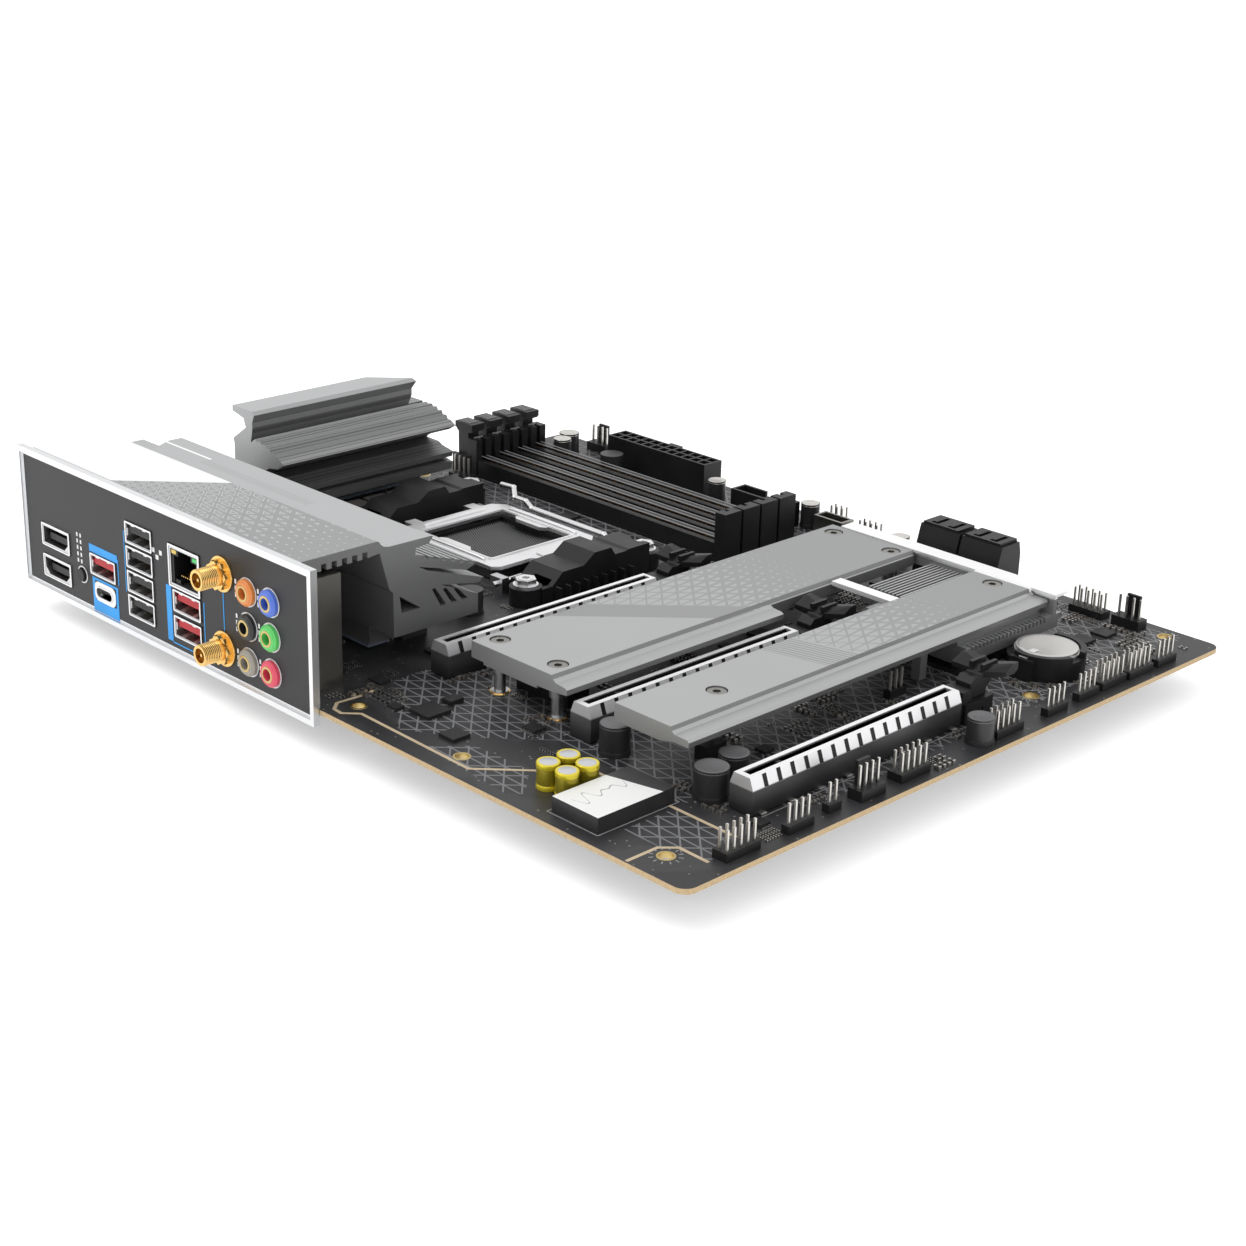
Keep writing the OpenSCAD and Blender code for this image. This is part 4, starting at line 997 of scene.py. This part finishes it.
    def labels(self, fit: Fitter) -> None:
        """Plain printed fields and lines on the rear face."""
        x = (self.face_x - 0.04, self.face_x + 0.02)
        blue, white = Shape(), Shape()
        blue.block(x, (248.3, 264.6), (16.7, 19.3))
        for y0, y1, z0, z1 in ((248.7, 263.6, -3.0, 0.9), (248.7, 263.6, 7.5, 8.3),
                               (248.7, 249.9, 0.9, 7.5), (262.1, 263.6, 0.9, 7.5)):
            blue.block(x, (y0, y1), (z0, z1))
        blue.block(x, (218.2, 221.0), (-0.4, 17.8))
        for y0, y1, z0, z1 in ((247.8, 248.2, 9.0, 18.0), (243.4, 243.8, 8.8, 29.0),
                               (200.6, 201.0, -0.8, 17.4), (201.0, 218.2, -0.8, -0.4),
                               (190.2, 190.6, 11.6, 23.8), (247.8, 248.2, 8.9, 9.3)):
            blue.block(x, (y0, y1), (z0, z1))
        for y, z in ((y, z) for y in (271.6, 269.6) for z in (11.0, 13.2, 15.4, 17.6, 19.8)):
            white.block(x, (y - 0.4, y + 0.4), (z, z + 1.3))
        for y, z in ((y, z + k * 2.1) for y in JACK_Y for z in JACK_Z for k in range(3)):
            white.block(x, (y + 5.3, y + 6.1), (z - 3.0, z - 1.6))
        for k in range(3):
            white.block(x, (222.4 + k * 2, 223.9 + k * 2), (26.4 - k % 2 * 1.9, 27.9 - k % 2 * 1.9))
        ring = Shape().lathe([(0, *self.button_at)], [(2.5, 1.39), (2.9, 1.39), (2.9, 1.3)],
                             REARWARD, 32)
        fit.piece(blue, "rear_blue_print", "blue_print", "io_plate")
        fit.piece(white, "rear_white_print", "ink", "io_plate")
        fit.piece(ring, "button_ring", "ink", "io_plate")


@dataclass
class SocketDetail:
    """Contact field, pressed ribs and fasteners of the processor socket."""

    pitch: float = 0.94
    reach: int = 18
    bracket_centre: tuple[float, float] = (129.4, 216.2)
    screw_reach: tuple[float, float] = (27.0, 45.0)

    def build(self, fit: Fitter) -> None:
        """Makes the pieces."""
        cx, cy = SOCKET_CENTRE
        steps = np.arange(-self.reach, self.reach + 1)
        i, j = np.meshgrid(steps, steps, indexing="ij")
        x = cx + i * self.pitch + (j % 2) * self.pitch / 2
        y = cy + j * self.pitch * 0.99
        x, y = x.ravel(), y.ravel()
        leaf = np.array([[-0.2, -0.3, 0.0], [0.2, -0.3, 0.0], [0.16, 0.05, 0.55],
                         [-0.16, 0.05, 0.55], [0.12, 0.4, 0.72], [-0.12, 0.4, 0.72]])
        points = np.stack([x, y, np.full(x.shape, 2.62)], -1)[:, None] + leaf[None]
        faces = (np.array([[0, 1, 2, 3], [3, 2, 4, 5]])[None]
                 + 6 * np.arange(len(x))[:, None, None]).reshape(-1, 4)
        fit.piece(Shape().add(points, faces), "socket_contacts", "contact", "socket_housing")
        well = Shape()
        for side in (-1, 1):
            well.block(flank(cx, side, 18.1, 17.6), (cy - 17.2, cy + 17.2), (2.6, 4.6))
            well.block((cx - 17.6, cx + 17.6), flank(cy, side, 17.7, 17.25), (2.6, 4.6))
        fit.piece(well, "socket_well", "black_plastic", "socket_housing", bevel=0.1)
        self.frame(fit)
        self.brackets(fit)

    def frame(self, fit: Fitter) -> None:
        """Rolled ribs and edge of the load frame and its hook."""
        rib, hook, rib_r = Shape(), Shape(), 0.7
        body = "socket_load_frame_body"
        rib.frame(rounded(38.6, 37.4, 1.6, SOCKET_CENTRE), rounded(36.9, 35.9, 1.2, SOCKET_CENTRE),
                  6.8, 7.15)
        for x in (107.2, 148.9):
            rib.tube([(x, 197, 6.75), (x, 199, 7.0), (x, 214, 7.05), (x, 229, 7.0),
                      (x, 231, 6.75)], rib_r, 10)
        rib.tube([(114, 236.4, 6.75), (116, 236.4, 7.0), (128, 236.4, 7.05), (140, 236.4, 7.0),
                  (142, 236.4, 6.75)], rib_r, 10)
        hook.block((124.2, 131.8), (186.4, 190.4), (6.8, 7.3))
        fit.piece(rib, "load_frame_ribs", "bright_steel", "socket_load_frame", body,
                  smooth=True)
        fit.piece(hook, "load_frame_tab", "bright_steel", "socket_load_frame", body, bevel=0.3)

    def brackets(self, fit: Fitter) -> None:
        """Ribs on both plastic brackets and star recesses in their screws."""
        (cx, cy), (across, along), rib_half = self.bracket_centre, self.screw_reach, 0.35
        rib = Shape()
        for side in (-1, 1):
            for x in cx + np.linspace(-20.5, 12.0, 9):
                rib.block((x - rib_half, x + rib_half), flank(cy + side * along, side, 7.6, 10.15),
                          (0.3, 6.4))
        star = Shape().star(((cx + i * across, cy + j * along) for i in (-1, 1) for j in (-1, 1)),
                            2.6, 1.5, 0.45, (8.8, 9.0))
        fit.piece(rib, "bracket_ribs", "black_plastic", "cooler_brackets", bevel=0.12)
        fit.piece(star, "bracket_screw_recesses", "bright_steel", "bracket_screws", bevel=0.08)


@dataclass
class SlotDetail:
    """Contacts, lips, ribs and solder tabs of the memory and card slots."""

    card_y: tuple[float, ...] = (142.5, 81.6, 20.6)
    memory_span: tuple[float, float] = (159.0, 283.4)
    card_span: tuple[float, float] = (43.8, 129.2)
    memory_pitch: float = 0.85
    card_pitch: float = 1.0
    slit_pitch: float = 5.5

    def build(self, fit: Fitter) -> None:
        """Makes the pieces."""
        for number in MEMORY_SLOTS:
            low, high = extent(f"memory_slot_{number}")
            self.memory(fit, number, float(low[0] + high[0]) / 2)
        for number, y in enumerate(self.card_y, 1):
            self.card(fit, number, y)

    def memory(self, fit: Fitter, number: int, x: float) -> None:
        """One memory slot."""
        node, top = f"memory_slot_{number}", 7.6
        ys = np.concatenate([np.arange(158.4, 222.5, self.memory_pitch),
                             np.arange(226.4, 286.0, self.memory_pitch)])
        gold, lip, rib, latch = Shape(), Shape(), Shape(), Shape()
        for side in (-1, 1):
            gold.boxes(np.c_[np.full(len(ys), x + side * 0.78), ys, np.full(len(ys), 4.6)],
                       (0.16, 0.45, 3.6))
            # Painted highlight: light-grey lips along the walls' top edges stand for the light
            # those edges catch.
            lip.block(flank(x, side, 0.86, 1.5), self.memory_span, (top, top + 0.22))
            rib.block(flank(x, side, 3.38, 3.75), self.memory_span, (0.0, 0.9))
        fit.piece(gold, f"{node}_contacts", "gold", node)
        fit.piece(lip, f"{node}_lips", "grey_plastic_and_highlight", node, bevel=0.08)
        fit.piece(rib, f"{node}_ribs", "slot_plastic", node, bevel=0.08)
        latch.block((x - 2.2, x + 2.2), (286.6, 287.1), (9.2, 14.6))
        for k in range(4):
            latch.block((x - 2.5, x + 2.5), (289.6 + k * 1.4, 290.3 + k * 1.4), (19.36, 19.66))
        fit.piece(latch, f"memory_latch_{number}_grips", "grey_plastic_and_highlight", f"memory_latch_{number}",
                  f"memory_latch_{number}_body", bevel=0.1)

    def card(self, fit: Fitter, number: int, y: float) -> None:
        """One card slot."""
        node = f"pcie_slot_{number}"
        xs = np.concatenate([np.arange(44.8, 54.8, self.card_pitch),
                             np.arange(58.0, 128.2, self.card_pitch)])
        gold, lip, tab, slit = Shape(), Shape(), Shape(), Shape()
        for side in (-1, 1):
            gold.boxes(np.c_[xs, np.full(len(xs), y + side * 0.88), np.full(len(xs), 6.4)],
                       (0.5, 0.16, 5.6))
            lip.block(self.card_span, flank(y, side, 0.95, 1.26), (9.4, 10.75))
            tab.boxes([(x, y + side * 4.55, 0.35) for x in np.arange(46.0, 129.0, 11.6)],
                      (2.2, 0.9, 0.5))
        fit.piece(gold, f"{node}_contacts", "gold", node)
        fit.piece(lip, f"{node}_lips", "slot_plastic", node)
        for x in 46.55 + self.slit_pitch * np.arange(15):
            for side in (-1, 1):
                wall = [(y + side * r, z) for r, z in ((4.22, 7.6), (2.96, 10.9), (2.5, 10.9),
                                                       (3.7, 7.6))]
                slit.prism(wall if side > 0 else wall[::-1], x, x + 1.5, "x")
        fit.piece(slit, f"pcie_shield_{number}_slits", "slot_plastic", f"pcie_shield_{number}")
        fit.piece(tab, f"pcie_shield_{number}_tabs", "tin", f"pcie_shield_{number}", bevel=0.1)


@dataclass
class BoardDetail:
    """Copper, printed ink and the mass of small parts on the board."""

    seed: int = 11
    clusters: int = 520
    package_share: float = 0.16
    resistor_share: float = 0.45
    hole_clearance: float = 6.5
    field_x: tuple[float, float] = (1.6, 242.2)
    field_y: tuple[float, float] = (1.6, 303.2)
    holes: tuple[tuple[float, float], ...] = (
        (10.16, 95.25), *((x, y) for x in (10.16, 165.1, 237.49) for y in (16.51, 140.97, 298.45)))

    def build(self, fit: Fitter) -> None:
        """Makes the pieces."""
        self.copper(fit)
        self.ink(fit)
        self.scatter(fit)
        self.underside(fit)

    def copper(self, fit: Fitter) -> None:
        """Rings round the fixing holes, gold discs and tan traces."""
        gold, ring, tick, trace = Shape(), Shape(), Shape(), Shape()
        gold.lathe([(x, y, 0) for x, y in PLATE_SCREWS[:5]], [(2.3, 0.3), (3.1, 0.3), (3.2, 0.0)],
                   steps=28)
        for x, y in self.holes:
            ring.lathe([(x, y, 0)], [(1.96, -1.55), (1.96, 0.06), (2.55, 0.06), (2.6, 0.0)],
                       steps=32)
            if (x, y) in self.holes[:1] or y > 100 and x < 20:
                continue
            for k in range(12):
                a = k * math.pi / 6
                tick.boxes([(x + 4.0 * math.cos(a), y + 4.0 * math.sin(a), 0.03)],
                           (1.2, 0.3, 0.06), a)
        fit.piece(tick, "hole_ticks", "dull_ink", "pcb")
        fit.piece(ring, "hole_rings", "brass", "pcb")
        for path in (((21.5, 148.4), (18.5, 146.2), (6.8, 146.8), (3.5, 143.8), (3.2, 140.2),
                      (7.3, 136.1), (6.3, 88.0), (19.6, 74.7), (24.0, 68.0)),
                     ((0.6, 21.1), (11.7, 21.1), (15.8, 17.4), (15.6, 6.9)),
                     ((31.0, 10.6), (31.2, 36.0)), ((31.0, 54.4), (31.0, 64.0), (24.6, 70.4))):
            trace.ribbon(path, 1.1, 0.0, 0.05)
        fit.piece(gold, "copper_discs", "gold", "pcb")
        fit.piece(trace, "bare_traces", "tan", "pcb")

    def ink(self, fit: Fitter) -> None:
        """Printed outlines round headers, plugs, slots and the socket."""
        ink = Shape()
        for node in ("atx_power_connector", "usb3_header", "usb_c_header", "battery_holder",
                     "chipset", "audio_shield", "sata_ports"):
            low, high = extent(node)
            (x0, y0), (x1, y1) = low[:2] - 0.9, high[:2] + 0.9
            x0, y0, x1, y1 = max(x0, 0.6), max(y0, 0.6), min(x1, 243.2), min(y1, 304.2)
            ink.ribbon([(x0, y0), (x1, y0), (x1, y1), (x0, y1), (x0, y0)], 0.3, 0.0, 0.04)
        for number in MEMORY_SLOTS:
            low, _ = extent(f"memory_slot_{number}")
            ink.ribbon([(low[0] - 0.3, 158), (low[0] - 0.3, 284)], 0.25, 0.0, 0.04)
        for number in CARD_SLOTS:
            low, high = extent(f"pcie_slot_{number}")
            for y in (low[1] - 0.8, high[1] + 0.8):
                ink.ribbon([(40.6, y), (150, y)], 0.25, 0.0, 0.04)
        fit.piece(ink, "printed_outlines", "dull_ink", "pcb")

    def scatter(self, fit: Fitter) -> None:
        """Rows of chip resistors and capacitors, and legged packages, in the free places.

        Clusters of parallel parts stand on a seeded random spread; a ray cast up
        from the board and the nearest surface tell whether a place is free.
        """
        rng = np.random.default_rng(self.seed)
        tree = self.obstacles()

        def free(x: float, y: float, r: float) -> bool:
            """Whether a disc of radius r on the board is clear of every part."""
            (x0, x1), (y0, y1) = self.field_x, self.field_y
            if not (x0 < x < x1 and y0 < y < y1) or (x < 34 and y < 36) or any(
                    math.hypot(x - a, y - b) < self.hole_clearance for a, b in self.holes):
                return False
            # The audio side and the strip by the rear edge stay bare.
            if (x < 30 and y < 116 and not (x > 26 and y > 66)) or (x < 8 and y < 150):
                return False
            spot = Vector(((x - DATUM[0]) * MM, (y - DATUM[1]) * MM, (0.5 - DATUM[2]) * MM))
            hit = tree.ray_cast(spot, Vector((0.0, 0.0, 1.0)))
            if hit[0] is not None and hit[1].z > 0:
                return False
            return tree.find_nearest(spot, r * MM)[0] is None

        parts: dict[str, tuple[list[Any], list[Any], list[float]]] = {
            key: ([], [], []) for key in ("resistor", "ceramic", "tin", "package")}

        def put(key: str, centre: Sequence[float], size: Sequence[float], turn: float) -> None:
            """Notes one box."""
            for store, value in zip(parts[key], (centre, size, turn)):
                store.append(value)

        taken: list[tuple[float, float, float]] = []
        for _ in range(self.clusters):
            x, y = rng.uniform(3, 241), rng.uniform(3, 302)
            columns, rows = int(rng.integers(1, 8)), int(rng.integers(1, 4))
            turn = float(rng.integers(0, 2)) * math.pi / 2
            length = float(rng.choice([1.0, 1.0, 1.6, 2.0]))
            kind = "resistor" if rng.random() < self.resistor_share else "ceramic"
            if rng.random() < self.package_share:
                self.package(rng, free, put, taken, x, y, turn)
                continue
            for c in range(columns):
                for r in range(rows):
                    dx, dy = c * length * 1.05, r * length * 1.7
                    px = x + dx * math.cos(turn) - dy * math.sin(turn)
                    py = y + dx * math.sin(turn) + dy * math.cos(turn)
                    gap = length * 0.75
                    if not free(px, py, gap) or any(
                            abs(px - a) < s + gap and abs(py - b) < s + gap for a, b, s in taken):
                        continue
                    width = length * 0.52
                    height = 0.35 if kind == "resistor" else width * 0.9
                    put(kind, (px, py, height / 2), (width, length * 0.66, height), turn)
                    for end in (-1, 1):
                        ex = px - end * length * 0.41 * math.sin(turn)
                        ey = py + end * length * 0.41 * math.cos(turn)
                        put("tin", (ex, ey, height / 2 + 0.01), (width * 1.04, length * 0.2,
                                                                height + 0.02), turn)
            taken.append((x, y, 1.2))
        for key, (centres, sizes, turns) in parts.items():
            if centres:
                fit.piece(Shape().boxes(centres, sizes, turns), f"small_{key}", key, "pcb")

    @staticmethod
    def package(rng: np.random.Generator, free: Callable[..., bool], put: Callable[..., None],
                taken: list[tuple[float, float, float]], x: float, y: float, turn: float) -> None:
        """Notes one legged package with a row of legs down two sides."""
        half = float(rng.choice([1.5, 2.0, 2.6, 3.2]))
        if not free(x, y, half * 1.5) or any(
                math.hypot(x - a, y - b) < s + half * 1.6 for a, b, s in taken):
            return
        taken.append((x, y, half * 1.3))
        put("package", (x, y, 0.55), (half * 2, half * 1.7, 0.9), turn)
        count = max(3, int(half * 2 / 0.9))
        for leg in range(count):
            along = (leg - (count - 1) / 2) * 0.85
            for side in (-1, 1):
                off = side * half * 1.08
                put("tin", (x + along * math.cos(turn) - off * math.sin(turn),
                            y + along * math.sin(turn) + off * math.cos(turn), 0.18),
                    (0.34, half * 0.42, 0.3), turn)

    @staticmethod
    def obstacles() -> BVHTree:
        """One search tree over every CAD node but the board itself."""
        points: list[Vector] = []
        faces: list[tuple[int, ...]] = []
        for name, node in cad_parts.items():
            if name == "pcb":
                continue
            start = len(points)
            points += [v.co for v in node.data.vertices]
            faces += [tuple(i + start for i in p.vertices) for p in node.data.polygons]
        return BVHTree.FromPolygons(points, faces)

    def underside(self, fit: Fitter) -> None:
        """Solder cones under the pins of slots, plugs and headers."""
        spots: list[tuple[float, float, float]] = []
        for number in MEMORY_SLOTS:
            low, high = extent(f"memory_slot_{number}")
            x = (low[0] + high[0]) / 2
            spots += [(x + (k % 2 - 0.5) * 3.4, 158 + k * 1.7, -1.6) for k in range(74)]
        for y in SlotDetail.card_y:
            spots += [(45 + k, y + (k % 2 - 0.5) * 3.0, -1.6) for k in range(84)]
        for node in ("atx_power_connector", "cpu_power_connectors", "usb3_header"):
            low, high = extent(node)
            nx, ny = (max(2, int(v / 4.2)) for v in (high - low)[:2])
            spots += [(low[0] + (i + 0.5) * (high[0] - low[0]) / nx,
                       low[1] + (j + 0.5) * (high[1] - low[1]) / ny, -1.6)
                      for i in range(nx) for j in range(ny)]
        cone = Shape().lathe(spots, [(0, 0.9), (0.25, 0.85), (0.75, 0.0)], (0, 0, -1), 6)
        fit.piece(cone, "solder_points", "tin", "pcb", smooth=True)


@dataclass
class PlateDetail:
    """Screw recesses of the plates, capacitor tops and the coin cell's ring and clip."""

    # Round capacitors: x, y, radius and height.
    cans: tuple[tuple[float, float, float, float], ...] = (
        (43.6, 69.4, 4.4, 9), (43.4, 32.6, 4.9, 9), (55, 35.2, 4.4, 8.6), (126.4, 6.4, 4, 8),
        (218.4, 278.2, 3.6, 9), (226, 282.4, 3.9, 9), (226, 202.6, 3.4, 9),
        (232.4, 162.2, 3.4, 9), (229.6, 118.6, 3.2, 8.6))

    def build(self, fit: Fitter) -> None:
        """Makes the pieces."""
        star = Shape().star(PLATE_SCREWS, 2.3, 1.2, 0.3, (15.0, 15.35))
        fit.piece(star, "plate_screw_recesses", "dark_steel", "heatsink_screws", bevel=0.08)
        self.capacitors(fit)
        self.cell(fit)

    def capacitors(self, fit: Fitter) -> None:
        """Pressed tops and seats of the round capacitors, tops and rims of the audio ones."""
        bright, dark, seat = Shape(), Shape(), Shape()
        for x, y, r, h in self.cans:
            (bright if y > 100 else dark).lathe(
                [(x, y, h)], [(0, 0.02), (r - 1.1, 0.02), (r - 0.75, 0.14), (r - 0.3, 0.1),
                              (r - 0.04, -0.25), (r + 0.03, -0.7)], steps=36)
            seat.lathe([(x, y, 0)], [(r + 0.02, 1.5), (r + 0.2, 1.2), (r + 0.2, 0.0)], steps=36)
        feet = [(x, y, 0.0) for x, y in AUDIO_CANS]
        white = Shape().lathe([(x, y, 7.5) for x, y in AUDIO_CANS],
                              [(0, 0.08), (2.5, 0.08), (2.6, 0.02)], steps=36)
        rim = Shape().lathe(feet, [(2.5, 7.58), (3.1, 7.62), (3.3, 7.4), (3.3, 6.3), (3.2, 6.1)],
                            steps=36)
        rim.lathe(feet, [(3.2, 1.5), (3.3, 1.3), (3.3, 0.3), (3.25, 0.0)], steps=36)
        fit.piece(dark, "dark_capacitor_tops", "can_dark", "black_capacitors", smooth=True)
        fit.piece(bright, "capacitor_tops", "tin", "black_capacitors", smooth=True)
        fit.piece(seat, "capacitor_seats", "black_plastic", "black_capacitors", smooth=True)
        fit.piece(white, "audio_capacitor_tops", "can_top", "audio_capacitors", smooth=True)
        fit.piece(rim, "audio_capacitor_rims", "gold_can", "audio_capacitors", smooth=True)

    def cell(self, fit: Fitter) -> None:
        """Stamped ring on the cell and the clip that presses it."""
        ring = Shape().lathe([(186, 26.3, 7.6)], [(0, 0.03), (7.9, 0.03), (8.3, 0.12),
                                                  (8.7, 0.1), (8.9, 0.0)], steps=64)
        clip = Shape().block((173.4, 177.6), (24.8, 27.8), (6.9, 7.2))
        clip.block((177.4, 180.2), (25.2, 27.4), (7.72, 7.95))
        fit.piece(ring, "cell_ring", "cell", "coin_cell", smooth=True)
        fit.piece(clip, "cell_clip", "bright_steel", "battery_holder", bevel=0.1)


# ------------------------------------------------------------ light and camera
@dataclass
class Studio:
    """Pale floor, soft boxes and the camera."""

    place: tuple[float, float, float] = (-349.90, -325.13, 257.10)
    azimuth: float = -44.738
    elevation: float = 20.912
    roll: float = 1.501
    sensor: float = 36.0
    lens: float = 63.80783
    shift: tuple[float, float] = (0.0089647, -0.0157464)
    floor_drop: float = 9.0
    floor_reach: float = 4.0

    def axes(self) -> tuple[Array, Array, Array]:
        """Camera right, up and back axes, from azimuth, elevation and roll."""
        a, e, r = (math.radians(v) for v in (self.azimuth, self.elevation, self.roll))
        back = np.array([math.sin(a) * math.cos(e), -math.cos(a) * math.cos(e), math.sin(e)])
        right = np.cross(-back, [0.0, 0.0, 1.0])
        right /= np.linalg.norm(right)
        up = np.cross(right, -back)
        return (right * math.cos(r) + up * math.sin(r),
                up * math.cos(r) - right * math.sin(r), back)

    def camera(self) -> None:
        """Makes the camera at the viewing angle."""
        data = bpy.data.cameras.new("camera")
        data.sensor_width, data.lens = self.sensor, self.lens
        data.shift_x, data.shift_y = self.shift
        data.clip_start, data.clip_end = 0.01, 20.0
        camera = bpy.data.objects.new("camera", data)
        bpy.context.scene.collection.objects.link(camera)
        right, up, back = self.axes()
        turn = Matrix(np.array([right, up, back]).T.tolist())
        camera.matrix_world = (Matrix.Translation(Vector((np.array(self.place) - DATUM) * MM))
                               @ turn.to_4x4())
        bpy.context.scene.camera = camera

    def floor(self) -> None:
        """Makes the pale floor a little below the board."""
        z = CAD_BOX[0].z - self.floor_drop * MM
        mesh = bpy.data.meshes.new("floor")
        mesh.from_pydata([(x * self.floor_reach, y * self.floor_reach, z)
                          for x, y in ((-1, -1), (1, -1), (1, 1), (-1, 1))], [], [(0, 1, 2, 3)])
        floor = bpy.data.objects.new("floor", mesh)
        bpy.context.scene.collection.objects.link(floor)
        g = Graph("floor")
        g.surface(Base_Color=(0.9, 0.9, 0.9), Roughness=0.9, Emission_Color=(1.0, 1.0, 1.0),
                  Emission_Strength=0.4)
        mesh.materials.append(g.material)

    def lamp(self, name: str, where: Sequence[float], size: float, power: float) -> None:
        """Makes one square soft box turned to the origin, in metres and watts."""
        data = bpy.data.lights.new(name, "AREA")
        data.size, data.energy = size, power
        lamp = bpy.data.objects.new(name, data)
        bpy.context.scene.collection.objects.link(lamp)
        lamp.matrix_world = (Matrix.Translation(Vector(where))
                             @ (-Vector(where)).to_track_quat("-Z", "Y").to_matrix().to_4x4())

    def light(self) -> None:
        """Sets the world and the soft boxes."""
        world = bpy.data.worlds.new("studio")
        world.use_nodes = True
        background = world.node_tree.nodes["Background"]
        background.inputs[0].default_value = (1.0, 1.0, 1.0, 1.0)
        background.inputs[1].default_value = 1.0
        bpy.context.scene.world = world
        self.lamp("key", (-0.45, 0.35, 0.9), 0.6, 2.2)
        self.lamp("fill", (-0.5, -1.1, 0.6), 0.8, 0.9)
        self.lamp("rim", (1.0, -0.2, 0.7), 0.4, 0.4)
        bpy.context.scene.view_settings.view_transform = "Standard"


def main() -> None:
    """Dresses the CAD nodes, adds every group of detail and sets the studio up."""
    logging.basicConfig(level=logging.INFO, format="%(message)s")
    shop = Workshop()
    shop.dress_frame()
    fit = Fitter(shop)
    for group in (RearPorts(), SocketDetail(), SlotDetail(), BoardDetail(), PlateDetail()):
        group.build(fit)
    studio = Studio()
    studio.camera()
    studio.floor()
    studio.light()


if __name__ == "__main__":
    main()
